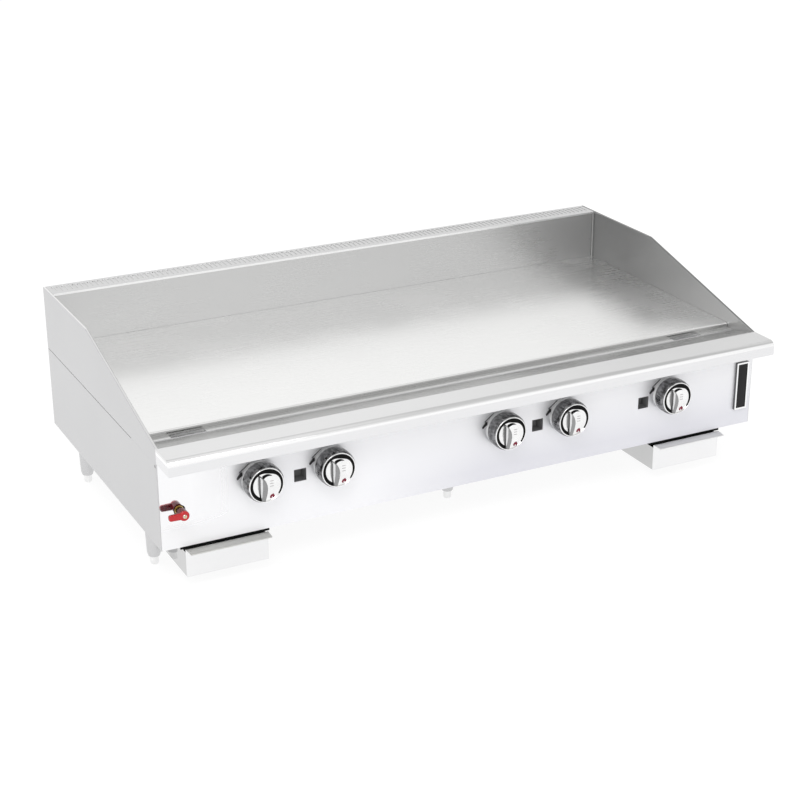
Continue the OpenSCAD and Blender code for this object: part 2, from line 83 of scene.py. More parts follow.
def section(corners, radius, steps=5):
    # a closed section to be turned: its rounded outline, back to the first point
    outline = rounded(corners, radius, steps, True)
    return np.concatenate([outline, outline[:1]])


def surface(points, closeU=False, closeV=False):
    # P(u, v) on a grid: every cell between neighbouring points becomes one quad
    countU, countV = points.shape[:2]
    u, v = np.meshgrid(np.arange(countU - (not closeU)), np.arange(countV - (not closeV)), indexing="ij")
    nextU, nextV = (u + 1) % countU, (v + 1) % countV
    cells = np.stack([u * countV + v, nextU * countV + v, nextU * countV + nextV, u * countV + nextV], -1)
    return points.reshape(-1, 3), cells.reshape(-1, 4).tolist()


def swept(radius, height, centre, axis):
    # P(v, a) = centre + r cos a e1 + r sin a e2 + h axis, for radius and height given at every (v, a)
    ways = {"out": ((1, 0, 0), (0, 0, 1), (0, -1, 0)), "up": ((1, 0, 0), (0, 1, 0), (0, 0, 1)),
            "back": ((1, 0, 0), (0, 0, 1), (0, 1, 0))}
    e1, e2, along = (np.array(w, float) for w in ways[axis])
    angle = np.linspace(0, 2 * np.pi, radius.shape[1], endpoint=False)[None, :, None]
    r, h = radius[..., None], height[..., None]
    points = np.asarray(centre, float) + r * np.cos(angle) * e1 + r * np.sin(angle) * e2 + h * along
    return surface(points, closeV=True)


def turned(profile, centre, axis="out", count=96):
    # a profile of (radius, height) turned round an axis
    profile = np.asarray(profile, float)
    shape = (len(profile), count)
    return swept(np.broadcast_to(profile[:, :1], shape), np.broadcast_to(profile[:, 1:], shape), centre, axis)


def threaded(centre, axis, start, end, root, depth, pitch, count, perTurn=8):
    # r(a, h) = root + depth * wave(h / pitch - a / 2 pi), a rounded wave that fades out over a turn at its ends
    steps = int(abs(end - start) / pitch * perTurn) + 1
    h = np.linspace(start, end, steps)[:, None]
    a = np.linspace(0, 1, count, endpoint=False)[None]
    wave = 0.5 - 0.5 * np.cos(2 * np.pi * (h / pitch - a))
    fade = np.clip(np.minimum(np.abs(h - start), np.abs(h - end)) / pitch, 0, 1)
    return swept(root + depth * wave * fade, np.broadcast_to(h, (steps, count)), centre, axis)


def carried(outline, start, end, along="x"):
    # a closed outline of the two other coordinates carried straight along one axis, capped at both ends
    outline = np.asarray(outline, float)
    ends = np.broadcast_to(np.array([start, end], float)[:, None], (2, len(outline)))
    first, second = (np.broadcast_to(outline[:, i], (2, len(outline))) for i in (0, 1))
    order = {"x": [ends, first, second], "y": [first, ends, second], "z": [first, second, ends]}[along]
    points, cells = surface(np.stack(order, -1), closeV=True)
    loop = list(range(len(outline)))
    return points, cells + [loop, [i + len(outline) for i in loop]]


def looped(rings, centre):
    # closed (x, z) outlines, each at its own depth behind the centre, joined ring to ring
    x, y, z = centre
    grid = np.stack([np.stack([x + o[:, 0], np.full(len(o), y + depth), z + o[:, 1]], -1) for o, depth in rings])
    return surface(grid, closeV=True)


def rectangle(left, low, right, high):
    return [(left, low), (right, low), (right, high), (left, high)]


def ellipse(x, z, wide, high, count=12):
    angle = np.linspace(0, 2 * np.pi, count + 1)[:-1]
    return np.stack([x + wide * np.cos(angle), z + high * np.sin(angle)], -1)


def raised(outline, centre, low, high, edge=0.0, steps=4):
    # a closed (x, z) outline on the panel's face, raised from low to high, its front edge rounded by edge:
    # each ring is the outline shrunk towards its middle by the quarter circle's inset at that height
    outline = np.asarray(outline, float)
    middle = (outline.max(0) + outline.min(0)) / 2
    size = np.abs(outline - middle).max(0)
    turn = np.linspace(0, np.pi / 2, steps) if edge else np.zeros(1)
    inset = np.concatenate([[0.0], edge * (1 - np.cos(turn))])
    height = np.concatenate([[low], high - edge + edge * np.sin(turn)])
    flat = middle + (outline - middle)[None] * (1 - inset[:, None, None] / size)
    points, cells = looped(zip(flat, -height), centre)
    count = len(outline)
    return points, cells + [list(range(count)), [i + count * (len(height) - 1) for i in range(count)]]


def together(*parts):
    # several surfaces as the points and faces of one mesh
    points, faces, offset = [], [], 0
    for partPoints, partFaces in parts:
        points.append(partPoints)
        faces += [[i + offset for i in face] for face in partFaces]
        offset += len(partPoints)
    return np.concatenate(points), faces


meshLimits = {"samePoint": 2e-6, "solidWeld": 1e-5, "edgeAngle": 40, "edgeSteps": 2}  # metres and degrees


def softEdges(piece, width, weld=False):
    # folded sheet never has a knife edge: a narrow rounded edge catches the light
    if weld:
        joined = piece.modifiers.new("Weld", "WELD")
        joined.merge_threshold = meshLimits["solidWeld"]
    edge = piece.modifiers.new("Edge", "BEVEL")
    edge.width, edge.segments, edge.limit_method = width * 0.001, meshLimits["edgeSteps"], "ANGLE"
    edge.angle_limit = math.radians(meshLimits["edgeAngle"])
    edge.harden_normals = True


def makePiece(name, shape, material, body, stands=(), sharp=35, bevel=0.0):
    points, faces = shape
    mesh = bpy.data.meshes.new(name)
    mesh.from_pydata(toFrame(points).tolist(), [], faces)
    work = bmesh.new()
    work.from_mesh(mesh)
    bmesh.ops.remove_doubles(work, verts=work.verts, dist=meshLimits["samePoint"])
    bmesh.ops.recalc_face_normals(work, faces=work.faces)
    work.to_mesh(mesh)
    work.free()
    mesh.polygons.foreach_set("use_smooth", np.ones(len(mesh.polygons), bool))
    mesh.set_sharp_from_angle(angle=math.radians(sharp))
    mesh.materials.append(material)
    piece = bpy.data.objects.new(name, mesh)
    bpy.context.scene.collection.objects.link(piece)
    if bevel:
        softEdges(piece, bevel)
    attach(piece, body)
    if stands:
        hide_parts(*stands)


# finishes
def finish(name, baseColor, metallic, roughness):
    made = bpy.data.materials.new(name)
    made.use_nodes = True
    shader = made.node_tree.nodes["Principled BSDF"]
    shader.inputs["Base Color"].default_value = (*baseColor, 1)
    shader.inputs["Metallic"].default_value = metallic
    shader.inputs["Roughness"].default_value = roughness
    return made, made.node_tree, shader


def wired(tree, kind, sockets=(), **settings):
    # adds a shader node, with each given input fed by another node's output or set to a constant
    made = tree.nodes.new("ShaderNode" + kind)
    for setting, value in settings.items():
        setattr(made, setting, value)
    for socket, value in dict(sockets).items():
        if isinstance(value, bpy.types.NodeSocket):
            tree.links.new(value, made.inputs[socket])
        else:
            made.inputs[socket].default_value = value
    return made.outputs


def noiseAt(tree, scale, stretch=(1, 1, 1), detail=3.0):
    place = wired(tree, "Mapping", {"Vector": wired(tree, "TexCoord")["Object"], "Scale": stretch})["Vector"]
    return wired(tree, "TexNoise", {"Vector": place, "Scale": scale, "Detail": detail})["Fac"]


def span(tree, value, low, high, fromLow=0.3, fromHigh=0.7):
    limits = {"From Min": fromLow, "From Max": fromHigh, "To Min": low, "To Max": high}
    return wired(tree, "MapRange", {"Value": value, **limits})["Result"]


def ramp(tree, value, stops):
    colours = tree.nodes.new("ShaderNodeValToRGB")
    items = colours.color_ramp.elements
    while len(items) < len(stops):
        items.new(0.5)
    for item, (place, colour) in zip(items, stops):
        item.position, item.color = place, (*colour, 1)
    tree.links.new(value, colours.inputs["Fac"])
    return colours.outputs["Color"]


def mottled(tree, shader, baseColor, value, places, factors):
    # the base colour runs between a darker and a lighter shade of itself
    stops = [(place, tuple(c * factor for c in baseColor)) for place, factor in zip(places, factors)]
    tree.links.new(ramp(tree, value, stops), shader.inputs["Base Color"])


def relieved(tree, shader, height, strength, distance):
    normal = wired(tree, "Bump", {"Height": height, "Strength": strength, "Distance": distance})["Normal"]
    tree.links.new(normal, shader.inputs["Normal"])


brushing = {"across": 700.0, "along": 6.0, "lineDetail": 2.0, "cloudScale": 5.0, "cloudDetail": 4.0,
            "lineShare": 0.6, "cloudShare": 0.4, "places": (0.25, 0.75), "depth": 0.0002}


def brushedSteel(name, baseColor, roughness, along, grain=0.05, bump=0.02, patch=0.03):
    # rolled sheet: fine lines along the brushing, a little cloudiness, and both in the roughness too
    made, tree, shader = finish(name, baseColor, 1.0, roughness)
    stretch = [brushing["across"]] * 3
    stretch["xyz".index(along)] = brushing["along"]
    lines = noiseAt(tree, 1.0, stretch, brushing["lineDetail"])
    cloud = noiseAt(tree, brushing["cloudScale"], detail=brushing["cloudDetail"])
    clouds = span(tree, cloud, 0.0, brushing["cloudShare"])
    mixed = wired(tree, "Math", {0: lines, 1: brushing["lineShare"], 2: clouds}, operation="MULTIPLY_ADD")[0]
    mottled(tree, shader, baseColor, mixed, brushing["places"], (1 - patch, 1 + patch))
    tree.links.new(span(tree, mixed, roughness - grain, roughness + grain), shader.inputs["Roughness"])
    relieved(tree, shader, lines, bump, brushing["depth"])
    return made


casting = {"detail": 4.0, "places": (0.3, 0.7), "factors": (0.95, 1.04), "smoothest": 0.01, "depth": 0.0004}


def plainMetal(name, baseColor, roughness, scale=60.0, grain=0.05, bump=0.0):
    # cast, machined or plated metal: cloudy roughness and colour without a direction
    made, tree, shader = finish(name, baseColor, 1.0, roughness)
    cloud = noiseAt(tree, scale, detail=casting["detail"])
    mottled(tree, shader, baseColor, cloud, casting["places"], casting["factors"])
    smooth = max(roughness - grain, casting["smoothest"])
    tree.links.new(span(tree, cloud, smooth, roughness + grain), shader.inputs["Roughness"])
    if bump:
        relieved(tree, shader, cloud, bump, casting["depth"])
    return made


moulding = {"scale": 180.0, "places": (0.3, 0.7), "factors": (0.92, 1.06), "grain": 0.04}


def moulded(name, baseColor, roughness, coat=0.0, gloss=0.5):
    # plastic or printed ink: faint mottling in the colour and the gloss
    made, tree, shader = finish(name, baseColor, 0.0, roughness)
    shader.inputs["Coat Weight"].default_value = coat
    shader.inputs["Specular IOR Level"].default_value = gloss
    cloud = noiseAt(tree, moulding["scale"])
    mottled(tree, shader, baseColor, cloud, moulding["places"], moulding["factors"])
    grain = moulding["grain"]
    tree.links.new(span(tree, cloud, roughness - grain, roughness + grain), shader.inputs["Roughness"])
    return made


def whereIs(tree, axis):
    # one Object coordinate, in metres
    return wired(tree, "SeparateXYZ", {"Vector": wired(tree, "TexCoord")["Object"]})[axis.upper()]


def fromMiddle(tree):
    # how far a point is from the body's middle plane
    return wired(tree, "Math", {0: whereIs(tree, "x")}, operation="ABSOLUTE")[0]


def multiplied(tree, first, second):
    return wired(tree, "Math", {0: first, 1: second}, operation="MULTIPLY")[0]


def tinted(made, share, colour):
    # mixes a second colour into the base colour of a finish, by a share that changes over the surface
    base = made.node_tree.nodes["Principled BSDF"].inputs["Base Color"]
    mix = {"Factor": share, "A": base.links[0].from_socket, "B": (*colour, 1)}
    made.node_tree.links.new(wired(made.node_tree, "Mix", mix, data_type="RGBA")["Result"], base)


def faded(tree, value, places, origin=0.0, low=0, high=1):
    # runs from low to high between two places, both in metres from an origin
    return span(tree, value, low, high, origin + places[0], origin + places[1])


def fadeAlong(tree, axis, places, origin=0.0, low=0, high=1):
    return faded(tree, whereIs(tree, axis), places, origin, low, high)


def tintAlong(made, axis, places, colour, origin=0.0, low=0, high=1):
    tinted(made, fadeAlong(made.node_tree, axis, places, origin, low, high), colour)


steelTone = {
    "side": (0.615, 0.615, 0.62), "splash": (0.64, 0.64, 0.64), "splashRight": (0.59, 0.59, 0.59),
    "panel": (0.93, 0.93, 0.95), "panelLow": (0.77, 0.77, 0.815), "panelEnd": (0.90, 0.90, 0.91),
    "ledge": (0.80, 0.80, 0.80), "ledgeRight": (0.73, 0.73, 0.73), "nose": (0.99, 0.99, 0.99),
    "ledgeFace": (0.80, 0.80, 0.81), "ledgeUnder": (0.70, 0.70, 0.70), "plate": (0.95, 0.95, 0.94),
    "plateEdge": (0.44, 0.44, 0.435), "apron": (0.61, 0.61, 0.605), "gutter": (0.80, 0.80, 0.795),
    "inside": (0.30, 0.30, 0.305), "drawer": (0.87, 0.87, 0.875), "tray": (0.58, 0.58, 0.58),
    "leftLip": (0.62, 0.62, 0.60), "rightLip": (0.83, 0.83, 0.83), "chute": (0.95, 0.95, 0.95),
    "flue": (0.68, 0.68, 0.68), "fold": (0.97, 0.97, 0.97), "splashInner": (0.25, 0.25, 0.25),
    "splashFront": (0.52, 0.52, 0.52), "leftEdge": (0.90, 0.90, 0.90), "rightEdge": (0.24, 0.24, 0.24),
    "foot": (0.88, 0.88, 0.88), "brass": (0.62, 0.47, 0.22), "chrome": (0.80, 0.80, 0.81),
}
# where a tone begins and ends along its axis, in metres from the frame's origin or from the edge given with it
fade = {
    "splashRight": (-0.20, 0.60), "polishAcross": (-0.690, -0.560), "polishUp": (0.040, 0.060),
    "panelEnd": (-0.720, -0.500), "lowAcross": (-0.300, 0.0), "lowUp": (0.030, 0.130),
    "ledgeRight": (-0.20, 0.50), "nose": (-0.0062, -0.0042), "ledgeFace": (-0.0135, -0.0105),
    "ledgeUnder": (-0.0010, -0.0005), "plateEdge": (0.0012, 0.0018), "gutter": (-0.0255, -0.0245),
    "fold": (-0.0002, 0.0), "splashEdge": (0.0048, 0.0056), "splashFace": (0.0004, 0.0012),
    "splashShade": (0.0, 0.55), "leverBackShade": (-0.0275, -0.0255), "badgeFront": (-0.0001, 0.0),
    "drawerLip": (-0.0012, 0.0),
}
sideSteel = brushedSteel("side_steel", steelTone["side"], 0.34, "y")
backSteel = brushedSteel("back_splash_steel", steelTone["splash"], 0.30, "x", grain=0.04, bump=0.01, patch=0.015)
# the back splash is painted darker towards its right end: painted shade
tintAlong(backSteel, "x", fade["splashRight"], steelTone["splashRight"])

# panel: mirror polish round the lever, which dulls to satin behind the knobs
panelSteel = brushedSteel("panel_steel", steelTone["panel"], 0.10, "x", grain=0.03, bump=0.006, patch=0.015)
panelTree = panelSteel.node_tree
polish = multiplied(panelTree, fadeAlong(panelTree, "x", fade["polishAcross"], low=1, high=0),
                    fadeAlong(panelTree, "z", fade["polishUp"], underZ))
panelPolish = {"Roughness": (0.40, 0.08), "Metallic": (0.50, 1.0)}  # satin, then polished
for socket, (satin, polished) in panelPolish.items():
    panelTree.links.new(span(panelTree, polish, satin, polished, 0, 1),
                        panelTree.nodes["Principled BSDF"].inputs[socket])
tintAlong(panelSteel, "x", fade["panelEnd"], steelTone["panelEnd"], low=1, high=0)
# the lower right of the panel is painted darker and bluer: painted shade
lowRightShade = multiplied(panelTree, fadeAlong(panelTree, "x", fade["lowAcross"]),
                      fadeAlong(panelTree, "z", fade["lowUp"], underZ, 1, 0))
tinted(panelSteel, lowRightShade, steelTone["panelLow"])

# ledge: the nose band is painted near white, a painted highlight, and the front below it has its own tone; the
# sheet is painted darker towards the right end, painted shade, and inside the fold it is painted darker, painted
# shade that the knob tops reflect
ledgeSteel = brushedSteel("ledge_steel", steelTone["ledge"], 0.20, "x", grain=0.04)
ledgeTree = ledgeSteel.node_tree
ledgeLow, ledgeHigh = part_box("front_ledge")
noseR, ledgeFront, ledgeTop, ledgeEnd = 0.015, ledgeLow.y, ledgeHigh.z, ledgeHigh.x
tintAlong(ledgeSteel, "x", fade["ledgeRight"], steelTone["ledgeRight"])
for part in ("nose", "ledgeFace"):
    tintAlong(ledgeSteel, "z", fade[part], steelTone[part], ledgeTop, 1, 0)
armY = fadeAlong(ledgeTree, "y", (0, noseR), ledgeFront, noseR, 0)
armZ = fadeAlong(ledgeTree, "z", (-noseR, 0), ledgeTop, 0, noseR)
arm = wired(ledgeTree, "CombineXYZ", {"X": armY, "Y": armZ})[0]  # from the nose's centre line to a point
fromNose = wired(ledgeTree, "VectorMath", {0: arm}, operation="LENGTH")["Value"]
inside = multiplied(ledgeTree, faded(ledgeTree, fromNose, fade["ledgeUnder"], noseR, 1, 0),
                    faded(ledgeTree, fromMiddle(ledgeTree), fade["ledgeUnder"], ledgeEnd, 1, 0))
tinted(ledgeSteel, inside, steelTone["ledgeUnder"])

# plate and trough: the plate's front edge is painted dark, painted shade, and the gutter's flat is painted lighter
# than the apron, painted light
plateSteel = brushedSteel("plate_steel", steelTone["plate"], 0.27, "x", grain=0.05, bump=0.03)
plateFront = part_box("griddle_plate")[0].y
tintAlong(plateSteel, "y", fade["plateEdge"], steelTone["plateEdge"], plateFront, 1, 0)
troughSteel = brushedSteel("trough_steel", steelTone["apron"], 0.26, "x")
tintAlong(troughSteel, "y", fade["gutter"], steelTone["gutter"], plateFront)
drawerSteel = brushedSteel("drawer_steel", steelTone["tray"], 0.05, "x", grain=0.02, bump=0.005)
chuteSteel = brushedSteel("chute_steel", steelTone["chute"], 0.5, "z")
legSteel = brushedSteel("leg_steel", steelTone["side"], 0.28, "z")
footSteel = plainMetal("foot_steel", steelTone["foot"], 0.3, 60.0)
insideSteel = plainMetal("inside_steel", steelTone["inside"], 0.55, 25.0, 0.1, 0.1)
brassMetal = plainMetal("machined_brass", steelTone["brass"], 0.3, 90.0)
chromeMetal = plainMetal("chrome", steelTone["chrome"], 0.07, 40.0, 0.02)
flueSteel = brushedSteel("flue_steel", steelTone["flue"], 0.30, "x")
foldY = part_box("back_splash")[0].y  # in front of this the flue top is its folded edge, painted near white: a painted highlight
tintAlong(flueSteel, "y", fade["fold"], steelTone["fold"], foldY, 1, 0)
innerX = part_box("right_splash")[0].x


def splashFinish(name, edge):
    # the outside is plain; the top edge is painted a tone of its own, a painted highlight on the left splash and
    # painted shade on the right; the face towards the plate is painted darker towards the back: painted shade
    made = brushedSteel(name, steelTone["side"], 0.34, "y")
    tree = made.node_tree
    across = fromMiddle(tree)
    tinted(made, faded(tree, across, fade["splashEdge"], innerX, 1, 0), edge)
    tinted(made, faded(tree, across, fade["splashFace"], innerX, 1, 0), steelTone["splashInner"])
    shadedInside = ramp(tree, fadeAlong(tree, "y", fade["splashShade"], panelY),
                  [(0.0, steelTone["splashFront"]), (1.0, steelTone["splashInner"])])
    innerMix = tree.nodes["Principled BSDF"].inputs["Base Color"].links[0].from_node
    tree.links.new(shadedInside, innerMix.inputs["B"])
    return made


leftSplashSteel = splashFinish("left_splash_steel", steelTone["leftEdge"])
rightSplashSteel = splashFinish("right_splash_steel", steelTone["rightEdge"])
print("finishes made")

# the finish of every node, by how its name starts
nodeFinish = {
    "left_side": sideSteel, "right_side": sideSteel, "rear_panel": sideSteel, "base_pan": sideSteel,
    "left_splash": leftSplashSteel, "right_splash": rightSplashSteel, "back_splash": backSteel,
    "flue_grille": flueSteel, "control_panel": panelSteel, "front_ledge": ledgeSteel, "griddle_plate": plateSteel,
    "grease_trough": troughSteel, "left_drain": chuteSteel, "right_drain": chuteSteel, "left_grease": drawerSteel,
    "right_grease": drawerSteel, "drawer_rails": insideSteel, "burner_": insideSteel, "heat_shield": insideSteel,
    "gas_manifold": insideSteel, "gas_inlet": insideSteel, "panel_screws": insideSteel, "badge_plate": insideSteel,
    "gas_valve_": brassMetal, "valve_stem_": brassMetal, "pilot_burners": brassMetal, "shutoff_": brassMetal,
    "knob_": chromeMetal, "leg_": legSteel, "foot_": legSteel,
}
for nodeName, node in nodes.items():
    node.data.materials.clear()
    node.data.materials.append(next(nodeFinish[start] for start in nodeFinish if nodeName.startswith(start)))
foldWidth = {"left_side_panel": 0.5, "right_side_panel": 0.5, "left_splash": 0.5, "right_splash": 0.5,
             "front_ledge": 0.8}
for nodeName, width in foldWidth.items():
    softEdges(nodes[nodeName], width, weld=True)
print("nodes finished")

# knobs: one set of surfaces, placed at every valve stem; heights are measured out from the panel's face
knob = {"count": 5, "face": 42.0, "boss": 42.4, "inkLift": 0.12}
skirt = {"line": [(34.5, 31), (38.6, 12), (42.3, 12), (42.9, 13.4), (43.4, 23), (43.4, 29), (42.9, 36),
                  (39.9, 42.1), (37.4, 42.1), (37.4, 38.6), (34.5, 38.6)],
         "bends": [0.5, 0.6, 0.6, 1.5, 8, 8, 12, 0.4, 0.2, 0.2, 0.3],
         "ribs": 48, "ribSteps": 6, "ribDepth": 0.7, "ribBack": 14.5, "backFade": 3, "ribFront": 37, "frontFade": 4,
         "barrelR": 40}


def knobSkirtShape(centre):
    # a closed ring of (radius, height), hollow inside, narrower at the back and at the rim; the barrel's radius
    # swings by ribDepth round the axis, most in the middle of its height
    outline = section(skirt["line"], skirt["bends"])
    angle = np.linspace(0, 2 * np.pi, skirt["ribs"] * skirt["ribSteps"], endpoint=False)[None]
    r, h = outline[:, :1], outline[:, 1:]
    share = np.clip((h - skirt["ribBack"]) / skirt["backFade"], 0, 1) * (r > skirt["barrelR"])
    share = share * np.clip((skirt["ribFront"] - h) / skirt["frontFade"], 0, 1)
    dent = skirt["ribDepth"] * share * (0.5 + 0.5 * np.cos(skirt["ribs"] * angle)) ** 2
    return swept(r - dent, np.broadcast_to(h, dent.shape), centre, "out")


rim = {"line": [(37.4, 42.0), (39.9, 42.0), (39.2, 44.5), (37.4, 44.5)], "bends": [0.2, 0.4, 1.2, 0.7]}


def knobRimShape(centre):
    # a bright rolled ring on the front of the skirt
    return turned(section(rim["line"], rim["bends"], 6), centre, "out", 128)


face = {"line": [(0, 42.4), (25.4, 42.4), (26.6, 42.0), (37.4, 42.0), (37.4, 37), (9, 37), (9, 12), (4.1, 12),
                 (4.1, 36.2), (0, 36.2)],
        "bends": [0, 0.3, 0.3, 0.1, 0.3, 1, 0.5, 0.2, 0.2, 0]}


def knobFaceShape(centre):
    # the printed collar, the raised middle and the hub on the stem
    return turned(rounded(face["line"], face["bends"], 4), centre, "out", 96)


grip = {"top": 50.2, "high": 24.5, "low": -36.8,
        "middle": (12.7, 2.9, -42.2, 36.0, -16.2), "half": (-2.8, 12.6, -45.1, 37.8, 1.7),  # polynomials of s
        "wall": 1.8, "fallPower": 8, "joint": 9, "topEnd": 0.16, "runFrom": 0.5, "runOut": 0.85, "runPower": 1.3,
        "sink": 0.4, "lay": {"lift": 0.05, "thick": 9, "behindFace": 1.4}}


def gripPlace(s):
    # along the grip, s from 0 at its top to 1 at its bottom: the middle line and the half width, two polynomials
    # that leave the left side straight and swell the right side like a D
    length = grip["high"] + (grip["low"] - grip["high"]) * s
    return length, np.polyval(grip["middle"], s), np.polyval(grip["half"], s)


def gripCrest(s):
    # where across the grip its crest lies: one wall's width in from the left edge
    half = gripPlace(s)[2]
    return grip["wall"] / np.maximum(half, 2 * grip["wall"]) - 1


def gripHeight(s, t):
    # across the grip: a steep flank up to the crest on the left, then a level top that falls off on the right;
    # the two are joined by a soft minimum, the top end falls away like a quarter circle and the bottom end runs out
    left = (t + 1) / (gripCrest(s) + 1)
    right = 1 - np.clip((t - gripCrest(s)) / (1 - gripCrest(s)), 0, 1) ** grip["fallPower"]
    shape = -np.log(np.exp(-grip["joint"] * left) + np.exp(-grip["joint"] * right)) / grip["joint"]
    topEnd = np.sqrt(1 - (1 - np.clip(s / grip["topEnd"], 0, 1)) ** 2)
    bottom = np.clip((s - grip["runFrom"]) / (1 - grip["runFrom"]), 0, 1)
    ends = topEnd * (1 - grip["runOut"] * bottom ** grip["runPower"])
    return (grip["top"] - knob["face"] + grip["sink"]) * np.clip(shape, 0, 1) * ends


def gripPatch(centre, s, t, lift, thick, behindFace=-np.inf):
    # P(s, t) on the grip's surface, lifted off it, with a copy behind it and walls between the two
    length, middle, half = gripPlace(s)
    faceY = centre[1] - knob["face"]
    out = centre[1] - (knob["face"] + lift + gripHeight(s, t))
    front = np.stack(np.broadcast_arrays(centre[0] + middle + half * t, out, centre[2] + length), -1)
    behind = front.copy()
    behind[..., 1] = np.maximum(front[..., 1] + thick, faceY + behindFace)
    edges = [0, -1, (slice(None), 0), (slice(None), -1)]
    walls = [surface(np.stack([front[edge], behind[edge]])) for edge in edges]
    return together(surface(front), surface(behind), *walls)


def knobGripShape(centre):
    return gripPatch(centre, np.linspace(0, 1, 49)[:, None], np.linspace(-1, 1, 57)[None, :], **grip["lay"])


crest = {"from": 0.03, "to": 0.82, "wide": 4.8, "rise": 0.12, "fall": 0.40, "thin": 0.15, "shift": 0.02,
         "lay": {"lift": 0.12, "thick": 0.5}}


def knobCrestShape(centre):
    # a painted highlight: a bright band along the grip's crest, narrower towards both ends
    s = np.linspace(crest["from"], crest["to"], 45)[:, None]
    taper = np.sqrt(np.clip(np.minimum(s / crest["rise"], (crest["to"] - s) / crest["fall"]), 0, 1))
    wide = crest["wide"] * (crest["thin"] + (1 - crest["thin"]) * taper)
    wide = wide / np.maximum(gripPlace(s)[2], crest["wide"])
    t = gripCrest(s) + crest["shift"] + wide * np.linspace(0, 1, 11)[None, :]
    return gripPatch(centre, s, t, **crest["lay"])


flank = {"from": 0.02, "edge": -0.985, "share": 0.94, "lay": {"lift": 0.09, "thick": 0.4}}


def knobFlankShape(centre):
    # painted shade: a darker band on the left flank, from the grip's edge to just short of the crest
    s = np.linspace(flank["from"], crest["to"], 45)[:, None]
    wide = (gripCrest(s) - flank["edge"]) * flank["share"]
    return gripPatch(centre, s, flank["edge"] + wide * np.linspace(0, 1, 21)[None, :], **flank["lay"])


scale = {"from": -103, "to": -402, "inner": 30.2, "outer": 37.3, "swell": 4.0, "swellAt": 0.60, "swellWide": 0.11,
         "thin": 4.9, "thinFrom": 0.66, "thinOver": 0.34, "steps": 121, "thick": 0.3}
shortArc = {"from": 54, "to": 114, "inner": 23.4, "innerFall": 8.0, "outer": 23.7, "outerRise": 1.5}


def arcShape(centre, ends, inner, outer, level):
    # a printed arc P(r, a) between two radii that change along it, with a back and closed ends
    angle = np.radians(ends["from"] + (ends["to"] - ends["from"]) * np.linspace(0, 1, scale["steps"]))
    ring = np.stack([np.stack([r * np.cos(angle), r * np.sin(angle)], -1) for r in (inner, outer)])
    grid = np.concatenate([ring, ring[::-1]])
    height = level + knob["inkLift"] + np.array([0, 0, -scale["thick"], -scale["thick"]])
    place = np.stack(np.broadcast_arrays(centre[0] + grid[..., 0], centre[1] - height[:, None],
                                         centre[2] + grid[..., 1]), -1)
    points, cells = surface(place, closeU=True)
    caps = [[row * scale["steps"] + end for row in range(4)] for end in (0, scale["steps"] - 1)]
    return points, cells + caps


def knobScaleShape(centre):
    # the printed scale from six o'clock clockwise to four, whose inner edge swells at the top and thins out on the
    # right, and a short dark arc over the marks, which is painted shade near the top edge of the raised middle
    q = np.linspace(0, 1, scale["steps"])
    swell = scale["swell"] * np.exp(-((q - scale["swellAt"]) / scale["swellWide"]) ** 2)
    thin = scale["thin"] * np.clip((q - scale["thinFrom"]) / scale["thinOver"], 0, 1)
    long = arcShape(centre, scale, scale["inner"] - swell + thin, np.full_like(q, scale["outer"]), knob["face"])
    shortIn = shortArc["inner"] - shortArc["innerFall"] * q
    shortOut = shortArc["outer"] + shortArc["outerRise"] * np.sin(np.pi * q)
    return together(long, arcShape(centre, shortArc, shortIn, shortOut, knob["boss"]))


marks = {"rows": (7.5, 1.5, -4.5), "from": 8.0, "to": 16.5, "half": 0.9, "bend": 0.5, "sink": 0.1}


def knobMarksShape(centre):
    # three short lines on the raised middle
    bars = []
    for z in marks["rows"]:
        corners = rectangle(marks["from"], z - marks["half"], marks["to"], z + marks["half"])
        outline = rounded(corners, marks["bend"], 3, True)
        bars.append(raised(outline, centre, knob["boss"] - marks["sink"], knob["boss"] + knob["inkLift"]))
    return together(*bars)


flame = {"x": 12.0, "low": -33.2, "high": 14, "half": 6.0, "belly": 0.62, "narrow": 0.25, "lean": 1.8, "sink": 0.3,
         "holeSize": (0.30, 0.36), "holeMove": (0.2, -0.02)}


def knobFlameShape(centre):
    # a printed flame: a teardrop outline with a leaning tip, whose half width follows sin of the height, and the
    # same outline smaller and lower as the hole in it
    t = np.linspace(0, 1, 25)
    half = flame["half"] * np.sin(np.pi * t ** flame["belly"]) * (1 - flame["narrow"] * t)
    lean = flame["lean"] * np.sin(np.pi * t) * t
    right, left = (np.stack([lean + way * half, flame["high"] * t], -1) for way in (1, -1))
    drop = np.concatenate([right[:-1], left[::-1][:-1]])
    hole = drop * flame["holeSize"] + flame["holeMove"]
    rings = [(drop, flame["sink"]), (drop, -knob["inkLift"]), (hole, -knob["inkLift"]), (hole, flame["sink"]),
             (drop, flame["sink"])]
    return looped(rings, (centre[0] + flame["x"], centre[1] - knob["face"], centre[2] + flame["low"]))


# the skirt's chrome is painted dark with lighter noise patches: a painted reflection with painted glints
skirtLook = {"dark": (0.12, 0.12, 0.123), "light": (0.31, 0.31, 0.315), "scale": 170.0, "stretch": (1, 0.4, 1),
             "from": 0.42, "to": 0.62}
skirtChrome = plainMetal("skirt_chrome", skirtLook["dark"], 0.12, 60.0, 0.05)
skirtTree = skirtChrome.node_tree
glints = noiseAt(skirtTree, skirtLook["scale"], skirtLook["stretch"])
tinted(skirtChrome, span(skirtTree, glints, 0, 1, skirtLook["from"], skirtLook["to"]), skirtLook["light"])
rimChrome = plainMetal("rim_chrome", (0.93, 0.93, 0.93), 0.12, 60.0, 0.03)
faceSatin = plainMetal("knob_face_satin", (0.88, 0.88, 0.88), 0.22, 60.0)
gripSatin = plainMetal("grip_satin", (0.31, 0.31, 0.312), 0.30, 80.0)
crestHighlight = plainMetal("crest_painted_highlight", (0.74, 0.74, 0.745), 0.20, 80.0)
